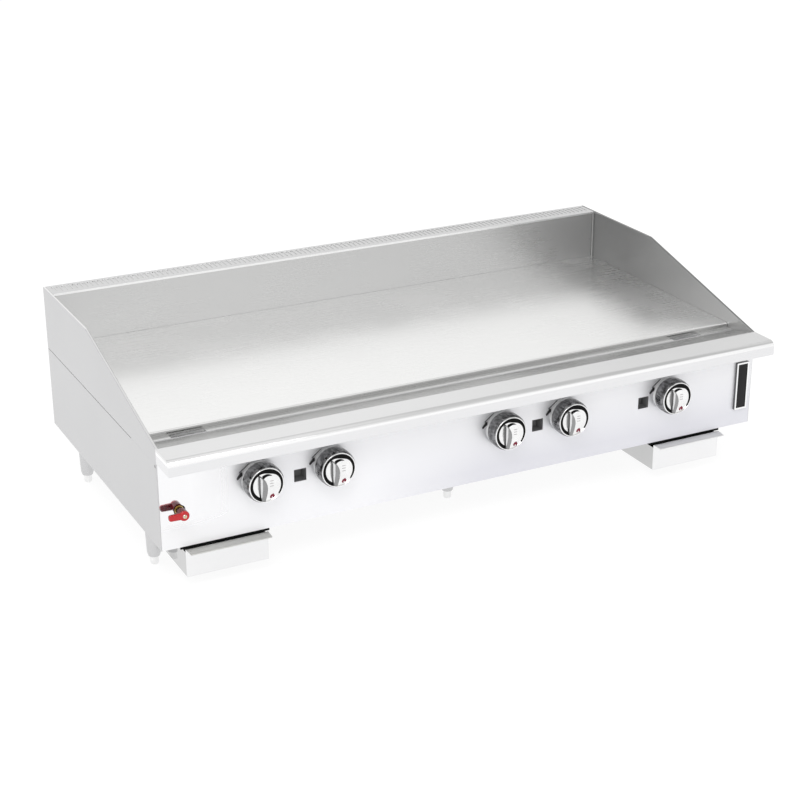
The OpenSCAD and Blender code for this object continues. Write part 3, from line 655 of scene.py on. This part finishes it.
flankShade = plainMetal("flank_painted_shade", (0.20, 0.20, 0.20), 0.30, 80.0)
scaleInkAndShade = moulded("scale_ink_and_painted_shade", (0.004, 0.004, 0.004), 0.6, gloss=0.1)
markInk = moulded("mark_ink", (0.48, 0.47, 0.47), 0.5)
flameInk = moulded("flame_ink", (0.20, 0.020, 0.040), 0.5, gloss=0.2)


def stemSpot(number):
    x, _, z = middleOf("valve_stem_%d" % number)
    return x, 0.0, z


knobPieces = [  # name, shape, finish, slot and sharp angle
    ("skirt", knobSkirtShape, skirtChrome, "chrome_trim", 28),
    ("rim", knobRimShape, rimChrome, "chrome_trim", 35),
    ("face", knobFaceShape, faceSatin, "polished_steel", 35),
    ("grip", knobGripShape, gripSatin, "satin_steel", 50),
    ("flank", knobFlankShape, flankShade, "satin_steel", 50),
    ("crest", knobCrestShape, crestHighlight, "chrome_trim", 50),
    ("scale", knobScaleShape, scaleInkAndShade, "badge_black", 35),
    ("marks", knobMarksShape, markInk, "dark_steel", 35),
    ("flame", knobFlameShape, flameInk, "lever_red", 35),
]
for number in range(1, knob["count"] + 1):
    body = "knob_%d" % number
    for part, shape, material, slot, sharp in knobPieces:
        stands = [body] if part == "skirt" else ()
        makePiece("knob_%s_%d" % (part, number), shape(stemSpot(number)), material, body, stands, sharp)
print("knobs made")

# bezels: a low bright cone on a thin dark gasket behind every knob, with a small pointer and a thin strip
bezel = {"line": [(10.0, 0), (39.8, 0), (39.8, 1.2), (36.3, 6.0), (32.3, 6.0), (31.3, 1.2), (10.0, 1.2)],
         "bends": [0, 0.2, 0.6, 1.0, 0.5, 0.6, 0.3], "metallic": 0.7}  # dulled by cleaning
gasket = {"in": 36.8, "out": 39.7, "high": 1.3, "bends": [0.1, 0.1, 0.5, 0.1]}
pointer = {"line": [(-38.0, 20.5), (-41.5, 20.0), (-50.8, 8.2), (-49.4, 4.2), (-44.0, 9.5), (-38.0, 13.0)],
           "bends": [0.5, 1.2, 1.0, 0.8, 0.6, 0.5], "high": 2.5, "edge": 0.5}
index = {"line": [(-43.9, 19.8), (-20.6, 37.9), (-20.9, 38.7), (-45.1, 20.8)], "bends": [0.4, 0.3, 0.3, 0.6],
         "high": 1.3, "edge": 0.3}
bezelProfile = section(bezel["line"], bezel["bends"], 4)
gasketProfile = section(rectangle(gasket["in"], 0, gasket["out"], gasket["high"]), gasket["bends"], 3)
pointerOutline = rounded(pointer["line"], pointer["bends"], 4, True)
indexOutline = rounded(index["line"], index["bends"], 3, True)
rings, gaskets = [], []
for number in range(1, knob["count"] + 1):
    spot = stemSpot(number)
    rings.append(turned(bezelProfile, spot, "out", 96))
    gaskets += [turned(gasketProfile, spot, "out", 96),
                raised(pointerOutline, spot, 0, pointer["high"], pointer["edge"]),
                raised(indexOutline, spot, 0, index["high"], index["edge"])]
bezelChrome = plainMetal("bezel_chrome", (0.74, 0.74, 0.745), 0.4, 40.0, 0.03)
bezelChrome.node_tree.nodes["Principled BSDF"].inputs["Metallic"].default_value = bezel["metallic"]
gasketBlack = moulded("gasket_black", (0.02, 0.02, 0.021), 0.4)
makePiece("bezel_rings", together(*rings), bezelChrome, "chassis", ["knob_bezels"], 30)
makePiece("bezel_gaskets", together(*gaskets), gasketBlack, "chassis")
print("bezels made")

# shut-off lever: a dipped red paddle with a round boss, held by a screw
lever = {"x": -717.0, "z": 86.0, "reach": 34.0, "half": 6.5, "flare": 1.5, "overlap": 2,
         "bends": [4.5, 0.5, 0.5, 4.5], "low": 24.0, "high": 31.0, "edge": 2.2,
         "boss": [(4.02, 12.6), (9.0, 12.6), (9.0, 8.5), (10.2, 8.5), (11.0, 10.5), (11.0, 32.0), (4.02, 32.0)],
         "bossBends": [0.3, 0.3, 0.3, 0.5, 1.5, 2.6, 0.6],
         "screw": [(0, 31.0), (4.6, 31.0), (4.6, 32.8), (2.6, 34.6), (2.0, 33.7), (0, 33.7)],
         "screwBends": [0, 0.2, 1.4, 0.3, 0.2, 0], "red": (0.50, 0.006, 0.012), "darkRed": (0.13, 0.004, 0.010)}
leverSpot = (lever["x"], 0.0, lever["z"])
flared = lever["half"] + lever["flare"]
paddle = rounded([(-lever["reach"], -lever["half"]), (lever["overlap"], -flared), (lever["overlap"], flared),
                  (-lever["reach"], lever["half"])], lever["bends"], 7, True)
dippedRed = moulded("dipped_red", lever["red"], 0.22, 0.3, 0.4)
tintAlong(dippedRed, "y", fade["leverBackShade"], lever["darkRed"], panelY)  # painted darker towards the panel: painted shade on the lever's back
makePiece("lever_paddle", together(raised(paddle, leverSpot, lever["low"], lever["high"], lever["edge"], 6),
                                   turned(section(lever["boss"], lever["bossBends"], 6), leverSpot, "out", 64)),
          dippedRed, "shutoff", ["shutoff_lever"])
screwProfile = rounded(lever["screw"], lever["screwBends"], 5)
makePiece("lever_screw", turned(screwProfile, leverSpot, "out", 48), chromeMetal, "shutoff")
print("lever made")

# badge: a frame round a bare black field, painted dark on its sides and bright on its front, painted shade and a
# painted highlight; the frame's section is (inset, height, corner) from its outer edge
badge = {"x": 730.5, "z": 102.5, "halfWide": 18.0, "halfHigh": 61.0, "brightFrom": 6.5,
         "frame": [(0, 0, 2.0), (0, 5.6, 2.0), (0.4, 6.6, 1.8), (1.4, 7.0, 1.4), (3.6, 7.0, 1.2), (4.5, 6.6, 1.0),
                   (4.8, 5.8, 0.9), (4.8, 1.0, 0.9)],
         "fieldInset": 4.7, "fieldCorner": 0.9, "fieldLow": 0.2, "fieldHigh": 5.4, "fieldEdge": 0.4,
         "chrome": (0.14, 0.14, 0.142), "polish": (0.93, 0.93, 0.935)}


def plateOutline(inset, radius):
    w, h = badge["halfWide"] - inset, badge["halfHigh"] - inset
    return rounded(rectangle(-w, -h, w, h), radius, 5, True)


badgeSpot = (badge["x"], 0, badge["z"])
frameRings = [(plateOutline(inset, corner), -height) for inset, height, corner in badge["frame"]]
badgeBlack = moulded("badge_black", (0.010, 0.010, 0.011), 0.35, 0.0, 0.25)
frameChrome = plainMetal("badge_chrome", badge["chrome"], 0.10, 40.0, 0.02)
# the frame's front is painted bright and its sides dark: a painted highlight and painted shade
tintAlong(frameChrome, "y", fade["badgeFront"], badge["polish"], panelY - badge["brightFrom"] * 0.001, 1, 0)
makePiece("badge_frame", looped(frameRings, badgeSpot), frameChrome, "chassis", ["badge_plate"])
field = raised(plateOutline(badge["fieldInset"], badge["fieldCorner"]), badgeSpot, badge["fieldLow"],
               badge["fieldHigh"], badge["fieldEdge"])
makePiece("badge_field", field, badgeBlack, "chassis")
print("badge made")

# grease drawers: a folded tray that hangs by its turned-in edges, and a front with a sloped pull lip
drawer = {"half": 94.5, "top": -8.0, "frontTop": -5.0, "shoulder": -13.0, "floor": -72.0, "front": -4.0,
          "back": 496.0, "sheet": 1.5, "flange": 12.0, "flangeFrom": 30.0, "lip": 23.0, "lipFall": 3.0,
          "lipCut": 4.0, "lipFrom": 1.5, "hem": 2.5, "bend": 2.4, "backGap": 7.0, "edge": 0.25,
          "lipRoughAndShade": 0.6, "lipRough": 0.5, "frontRough": 0.18}


def sheetOutline(line, radius, thickness, steps=5):
    # a folded sheet's section: its outer line with rounded bends, and the same line moved in by its thickness
    outer = rounded(line, radius, steps)
    step = np.gradient(outer, axis=0)
    side = np.stack([-step[:, 1], step[:, 0]], -1) / np.linalg.norm(step, axis=1)[:, None]
    return np.concatenate([outer, (outer + side * thickness)[::-1]])


def trayShape(x):
    half, top, floor, sheet = (drawer[key] for key in ("half", "top", "floor", "sheet"))
    back, backTop, inner = drawer["back"], top - drawer["backGap"], half - drawer["flange"]
    bottom = [(-half, floor), (half, floor)]
    wall = [(-half, drawer["shoulder"]), *bottom, (half, drawer["shoulder"])]
    hung = [(-inner, top), (-half, top), *bottom, (half, top), (inner, top)]
    backWall = rectangle(back - sheet, floor, back, backTop)
    wallOutline, hungOutline = (sheetOutline(line, drawer["bend"], sheet) + np.array([x, 0])
                                for line in (wall, hung))
    return together(carried(wallOutline, drawer["front"] + sheet, drawer["flangeFrom"], "y"),
                    carried(hungOutline, drawer["flangeFrom"], back - sheet, "y"),
                    carried(backWall, x - half, x + half))


def drawerFrontShape(x):
    # up the front, over the top bend, out along the lip and down its hem; the lip stops short of the left edge
    lipEnd, lipTop = drawer["front"] - drawer["lip"], drawer["frontTop"] - drawer["lipFall"]
    faceY = drawer["front"] + drawer["sheet"]
    line = [(lipEnd, lipTop - drawer["hem"]), (lipEnd, lipTop), (faceY, drawer["frontTop"]),
            (faceY, drawer["floor"])]
    outline = sheetOutline(line, drawer["bend"], -drawer["sheet"])
    points, cells = carried(outline, x - drawer["half"], x + drawer["half"])
    onLip = points[:, 1] < drawer["front"] - drawer["lipFrom"]
    points[(points[:, 0] < x) & onLip, 0] += drawer["lipCut"]
    return points, cells


lipY = panelY + (drawer["front"] - drawer["lipRoughAndShade"]) * 0.001
for side in ("left", "right"):
    middleX = middleOf(side + "_grease_drawer")[0]
    makePiece(side + "_drawer_tray", trayShape(middleX), drawerSteel, side + "_drawer",
              [side + "_grease_drawer"], bevel=drawer["edge"])
    lipSteel = brushedSteel(side + "_drawer_front_steel", steelTone["drawer"], drawer["frontRough"], "x")
    lipTree = lipSteel.node_tree  # the lip is rougher than the front, and painted darker, by a different amount on each drawer: painted shade
    tintAlong(lipSteel, "y", fade["drawerLip"], steelTone[side + "Lip"], lipY, 1, 0)
    lipTree.links.new(fadeAlong(lipTree, "y", fade["drawerLip"], lipY, drawer["lipRough"],
                            drawer["frontRough"]), lipTree.nodes["Principled BSDF"].inputs["Roughness"])
    makePiece(side + "_drawer_front", drawerFrontShape(middleX), lipSteel, side + "_drawer",
              bevel=drawer["edge"])
print("drawers made")

# gap strips: black strips under the body, along the front and both sides of every drawer; they are painted shade in
# the gap between the body and the drawers
gapStrip = {"front": 3.0, "thick": 2.0, "low": -7.2, "back": 108.0, "left": 9.0, "right": 6.0, "edge": 0.3}


def gapStripSection(start):
    return rectangle(start, gapStrip["low"], start + gapStrip["thick"], 0)


gapStrips = []
for side in ("left", "right"):
    low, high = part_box(side + "_grease_drawer")
    leftX, rightX = low.x * 1000, high.x * 1000 - gapStrip["thick"]
    gapStrips.append(carried(gapStripSection(gapStrip["front"]), leftX - gapStrip["left"], rightX + gapStrip["thick"] + gapStrip["right"]))
    gapStrips += [carried(gapStripSection(x), gapStrip["front"] + gapStrip["thick"], gapStrip["back"], "y") for x in (leftX, rightX)]
gapShadeBlack = moulded("gap_shade_black", (0.008, 0.008, 0.008), 0.7, gloss=0.1)
makePiece("drawer_gap_shade", together(*gapStrips), gapShadeBlack, "chassis", bevel=gapStrip["edge"])
print("seals made")

# legs and feet: turned legs with a shoulder, and feet on threaded studs
leg = {"line": [(0, 12.0), (5.0, 12.0), (5.0, 0), (18.5, 0), (18.5, -5), (17.8, -6.5), (17.6, -7.5), (15.4, -73.0),
                (12.8, -82.0), (6.1, -82.0), (6.1, -33.0), (0, -33.0)],
       "bends": [0, 1, 0.3, 0.8, 0.8, 0.4, 1, 3, 1.2, 0.5, 0.5, 0], "count": 6}
foot = {"line": [(0, -102.0), (8.0, -102.0), (9.5, -99.0), (9.5, -83.3), (8.5, -82.3), (5.2, -82.3)],
        "bends": [0, 1.2, 2.5, 0.8, 0.8, 0], "high": -82.3, "studRoot": 5.2, "thread": 0.7, "pitch": 1.75,
        "studTop": -37.0, "tip": [(5.2, -37.0), (4.4, -36.1), (0, -36.1)], "tipBends": [0, 0.3, 0]}
legProfile, footProfile = rounded(leg["line"], leg["bends"]), rounded(foot["line"], foot["bends"])
footTip = rounded(foot["tip"], foot["tipBends"], 3)
for number in range(1, leg["count"] + 1):
    x, y, _ = middleOf("foot_%d" % number)
    spot = (x, y, 0.0)
    makePiece("turned_leg_%d" % number, turned(legProfile, spot, "up", 72), legSteel, "chassis",
              ["leg_%d" % number], 30)
    stud = threaded(spot, "up", foot["high"], foot["studTop"], foot["studRoot"], foot["thread"], foot["pitch"], 48)
    makePiece("screw_foot_%d" % number,
              together(turned(footProfile, spot, "up", 48), stud, turned(footTip, spot, "up", 48)),
              footSteel, "foot_%d" % number, ["foot_%d" % number], 40)
print("legs made")

# gas inlet: the pipe, its thread at the back and a hexagon lock nut against the rear panel
inlet = {"x": -717.0, "z": 86.0, "pipe": 12.75, "bore": 10.5, "from": 80.0, "panel": 778.0, "end": 808.0,
         "root": 12.3, "depth": 1.0, "pitch": 1.814, "threadFrom": 784.0, "threadTo": 807.2, "taper": 1,
         "chamfer": 0.7}
inletSpot = (inlet["x"], 0.0, inlet["z"])
root, bore, pipe = inlet["root"], inlet["bore"], inlet["pipe"]
pipeStart = [(bore, inlet["from"]), (pipe, inlet["from"]), (pipe, inlet["threadFrom"] - inlet["taper"]),
             (root, inlet["threadFrom"])]
pipeEnd = [(root, inlet["threadTo"]), (root - inlet["chamfer"], inlet["end"]), (bore, inlet["end"]),
           (bore, inlet["from"])]
pipeThread = threaded(inletSpot, "back", inlet["threadFrom"], inlet["threadTo"], root, inlet["depth"],
                      inlet["pitch"], 72)
pipeSteel = plainMetal("pipe_steel", (0.30, 0.30, 0.305), 0.36, 70.0, 0.08, 0.05)
makePiece("inlet_pipe", together(turned(pipeStart, inletSpot, "back", 72), pipeThread,
                                 turned(pipeEnd, inletSpot, "back", 72)),
          pipeSteel, "chassis", ["gas_inlet_pipe"], 50)
nut = {"r": 18.2, "high": 6.0, "chamfer": 1.2, "coneR": 16.38, "mouthR": 13.3, "mouthDeep": 0.6, "boreR": 12.8}


def lockNutShape():
    # r(a) of a hexagon, cut back by a cone at its outer face; the bore is round
    a = np.linspace(0, 2 * np.pi, 72, endpoint=False)
    sixth = math.pi / 6
    flat = nut["r"] * math.cos(sixth) / np.cos((a + sixth) % (math.pi / 3) - sixth)
    levels = [(None, 0.0), (None, nut["high"] - nut["chamfer"]), (nut["coneR"], nut["high"]),
              (nut["mouthR"], nut["high"]), (nut["boreR"], nut["high"] - nut["mouthDeep"]), (nut["boreR"], 0.0),
              (None, 0.0)]
    r = np.stack([flat if cap is None else np.minimum(flat, cap) for cap, _ in levels])
    h = np.broadcast_to(np.array([level for _, level in levels])[:, None], r.shape)
    return swept(r, h + inlet["panel"], inletSpot, "back")


makePiece("inlet_lock_nut", lockNutShape(), brassMetal, "chassis")
print("inlet made")

# flue louvres: a thin vane under every slot, which falls from the slot's right edge to below its left edge
flueTop, flueBack = (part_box("flue_grille")[1].z - underZ) * 1000, (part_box("rear_panel")[1].y - panelY) * 1000
backFace = (foldY - panelY) * 1000
louvre = {"pitch": 12.7, "count": 118, "half": 3.2, "front": backFace + 15, "back": flueBack - 8, "deep": 1.5,
          "bend": 0.1, "fall": 4.0, "under": 0.8, "thick": 0.7, "bends": [0, 1.5, 0]}
vaneTop, vaneHalf = flueTop - louvre["deep"], louvre["half"] + louvre["under"]
vane = sheetOutline([(vaneHalf, vaneTop), (louvre["half"], vaneTop - louvre["bend"]),
                     (-vaneHalf, vaneTop - louvre["fall"])], louvre["bends"], -louvre["thick"])
vaneX = (np.arange(louvre["count"]) - (louvre["count"] - 1) / 2) * louvre["pitch"]
vanes = [carried(vane + np.array([x, 0]), louvre["front"], louvre["back"], "y") for x in vaneX]
louvreSteel = brushedSteel("louvre_steel", (0.74, 0.74, 0.74), 0.35, "y")
makePiece("flue_louvres", together(*vanes), louvreSteel, "chassis")
print("flue louvres made")

# corner welds: dressed fillets up the back corners, and beads along both ends of the flue top
weld = {"x": 756.0, "r": 5.0, "low": 228.2, "belowTop": 5, "sink": 0.4}
endBead = {"x": 755.6, "half": 1.7, "high": 1.0, "short": 1}
quarter = np.linspace(0, np.pi / 2, 9)
sunkX, sunkY = weld["x"] + weld["sink"], backFace + weld["sink"]
fillet = np.concatenate([np.stack([weld["x"] - weld["r"] * (1 - np.cos(quarter)),
                                   backFace - weld["r"] * (1 - np.sin(quarter))], -1),
                         [(weld["x"] - weld["r"], sunkY), (sunkX, sunkY), (sunkX, backFace - weld["r"])]])
bead = ellipse(endBead["x"], flueTop - endBead["high"], endBead["half"], endBead["high"])
sides = (1, np.array([-1, 1]))  # as drawn, and mirrored
fillets = [carried(fillet * way, weld["low"], flueTop - weld["belowTop"], "z") for way in sides]
endBeads = [carried(bead * way, backFace, flueBack - endBead["short"], "y") for way in sides]
makePiece("corner_welds", together(*fillets), rightSplashSteel, "chassis", sharp=60)
makePiece("flue_end_beads", together(*endBeads), flueSteel, "chassis", sharp=70)
print("welds made")

# sight tubes: matt square sleeves behind the pilot windows, each with a low stop at its inner end
tube = {"half": 14.8, "wall": 1.2, "from": 1.6, "to": 31.0, "stop": 17.0,
        "windows": [(-440.5, 109.5), (155.0, 109.5), (446.5, 109.5)]}  # middles of the windows in the panel
square = np.array(rectangle(-1, -1, 1, 1))
outerHalf = tube["half"] + tube["wall"]
sleeve = [(tube["half"], tube["from"]), (tube["half"], tube["to"]), (outerHalf, tube["to"]),
          (outerHalf, tube["from"]), (tube["half"], tube["from"])]
tubes = []
for x, z in tube["windows"]:
    stopLow = z - tube["half"]
    stop = rectangle(tube["to"] - tube["wall"], stopLow, tube["to"], stopLow + tube["stop"])
    tubes += [looped([(half * square, depth) for half, depth in sleeve], (x, 0, z)),
              carried(stop, x - tube["half"], x + tube["half"])]
sightGrey = moulded("sight_grey", (0.24, 0.24, 0.245), 0.6, gloss=0.2)
makePiece("sight_tubes", together(*tubes), sightGrey, "chassis")
print("sight tubes made")

# gutter bead: a dressed weld line where the apron meets the gutter's flat
gutterBead = {"half": 755.0, "wide": 1.95, "high": 0.78, "y": (plateFront - panelY) * 1000 - 25.0, "z": 218.4}
beadOutline = ellipse(gutterBead["y"], gutterBead["z"], gutterBead["wide"], gutterBead["high"])
makePiece("gutter_bead", carried(beadOutline, -gutterBead["half"], gutterBead["half"]), legSteel, "chassis",
          sharp=70)
print("bead made")

# rear screws: pan heads with a round recess, in two rows on the rear panel
screw = {"line": [(0, -0.5), (4.2, -0.5), (4.2, 0.7), (2.0, 2.4), (1.6, 2.1), (0.8, 0.8), (0, 0.8)],
         "bends": [0, 0.2, 1.4, 0.3, 0.2, 0.2, 0], "rows": (18.0, 335.0),
         "places": (-735.0, -490.0, -245.0, 0.0, 245.0, 490.0, 735.0)}
headProfile = rounded(screw["line"], screw["bends"], 4)
heads = [turned(headProfile, (x, inlet["panel"], z), "back", 28) for x in screw["places"] for z in screw["rows"]]
makePiece("rear_screws", together(*heads), legSteel, "chassis", sharp=40)
print("rear screws made")


# stage
def stagePlane(name, corners, material):
    mesh = bpy.data.meshes.new(name)
    mesh.from_pydata(corners, [], [(0, 1, 2, 3)])
    mesh.materials.append(material)
    plane = bpy.data.objects.new(name, mesh)
    bpy.context.scene.collection.objects.link(plane)


def backgroundRay(tree):
    # 1 for the rays that show the white background: camera, glossy and transmission
    path = wired(tree, "LightPath")
    seen = path["Is Camera Ray"]
    for kind in ("Is Glossy Ray", "Is Transmission Ray"):
        seen = wired(tree, "Math", {0: seen, 1: path[kind]}, operation="MAXIMUM")[0]
    return seen


stageLook = {"floorColour": (0.86, 0.86, 0.86), "floorGlow": 0.80, "glowLevel": 1.10, "floorReach": 30.0,
             "worldLight": 0.95, "sideTurn": 2.4,
             "side": [(0.165, 1), (0.26, 0.92), (0.62, 0.85), (0.92, 1)],  # places and greys
             "band": [(0.50, 1), (0.55, 0.78), (0.90, 0.78), (0.96, 1)]}
floorFinish = bpy.data.materials.new("floor_paper")
floorFinish.use_nodes = True
floorTree = floorFinish.node_tree
floorTree.nodes.remove(floorTree.nodes["Principled BSDF"])
paper = wired(floorTree, "BsdfDiffuse", {"Color": (*stageLook["floorColour"], 1)})[0]
glow = wired(floorTree, "Emission", {"Strength": stageLook["glowLevel"]})[0]
glowShare = multiplied(floorTree, backgroundRay(floorTree), stageLook["floorGlow"])
floorTree.links.new(wired(floorTree, "MixShader", {"Fac": glowShare, 1: paper, 2: glow})[0],
                    floorTree.nodes["Material Output"].inputs["Surface"])
far = stageLook["floorReach"]
stagePlane("floor", [(-far, -far, 0), (far, -far, 0), (far, far, 0), (-far, far, 0)], floorFinish)

world = bpy.data.worlds.new("studio")
bpy.context.scene.world = world
world.use_nodes = True
skyTree = world.node_tree


def studioShade(tree):
    # what the metal sees of the studio: white, a little grey at the back right, and a grey band higher up
    parts = wired(tree, "SeparateXYZ", {"Vector": wired(tree, "TexCoord")["Generated"]})
    turn = wired(tree, "Math", {0: parts["X"], 1: parts["Y"]}, operation="ARCTAN2")[0]
    sideStops, bandStops = ([(place, (grey,) * 3) for place, grey in stageLook[key]] for key in ("side", "band"))
    side = ramp(tree, span(tree, turn, 0, 1, 0, stageLook["sideTurn"]), sideStops)
    band = ramp(tree, parts["Z"], bandStops)
    both = {"Factor": 1.0, "A": side, "B": band}
    shaded = wired(tree, "Mix", both, data_type="RGBA", blend_type="MULTIPLY")["Result"]
    seen = {"Factor": wired(tree, "LightPath")["Is Glossy Ray"], "A": (1, 1, 1, 1), "B": shaded}
    return wired(tree, "Mix", seen, data_type="RGBA")["Result"]


soft = skyTree.nodes["Background"]
soft.inputs["Color"].default_value = (1, 1, 1, 1)
soft.inputs["Strength"].default_value = stageLook["worldLight"]
white = wired(skyTree, "Background", {"Color": studioShade(skyTree), "Strength": 1.0})[0]
sky = wired(skyTree, "MixShader", {"Fac": backgroundRay(skyTree), 1: soft.outputs[0], 2: white})[0]
skyTree.links.new(sky, skyTree.nodes["World Output"].inputs["Surface"])


def softbox(name, place, aim, size, power):
    lamp = bpy.data.lights.new(name, "AREA")
    lamp.shape, lamp.size, lamp.size_y, lamp.energy = "RECTANGLE", size[0], size[1], power
    holder = bpy.data.objects.new(name, lamp)
    holder.location = place
    holder.rotation_euler = (Vector(aim) - Vector(place)).to_track_quat("-Z", "Y").to_euler()
    bpy.context.scene.collection.objects.link(holder)


keyLight = {"place": (-1.6, -2.4, 3.0), "aim": (0, 0, 0.3), "size": (1.8, 1.2), "power": 40}
softbox("key", **keyLight)
print("stage ready")

# camera: place and aim found from the body's edges in the photo, on an 800 by 800 image
cameraFit = {"place": (-1.79034, panelY - 3.14563, underZ + 1.68559), "azimuth": -26.836, "elevation": 22.318,
             "roll": -0.217, "focalPixels": 1744.2, "imagePixels": 800, "sensor": 36.0, "farthest": 200}
azimuth, elevation, roll = (math.radians(cameraFit[angle]) for angle in ("azimuth", "elevation", "roll"))
level = math.cos(elevation)
back = Vector((math.sin(azimuth) * level, -math.cos(azimuth) * level, math.sin(elevation)))
right = Vector((math.cos(azimuth), math.sin(azimuth), 0))
up = back.cross(right)
rightTurned = math.cos(roll) * right + math.sin(roll) * up
upTurned = math.cos(roll) * up - math.sin(roll) * right
lens = bpy.data.cameras.new("camera")
lens.sensor_width = cameraFit["sensor"]
lens.lens = cameraFit["focalPixels"] * cameraFit["sensor"] / cameraFit["imagePixels"]
lens.clip_end = cameraFit["farthest"]
camera = bpy.data.objects.new("camera", lens)
turning = Matrix((rightTurned, upTurned, back)).transposed().to_4x4()
camera.matrix_world = Matrix.Translation(cameraFit["place"]) @ turning
bpy.context.scene.collection.objects.link(camera)
bpy.context.scene.camera = camera
bpy.context.scene.view_settings.view_transform = "Standard"
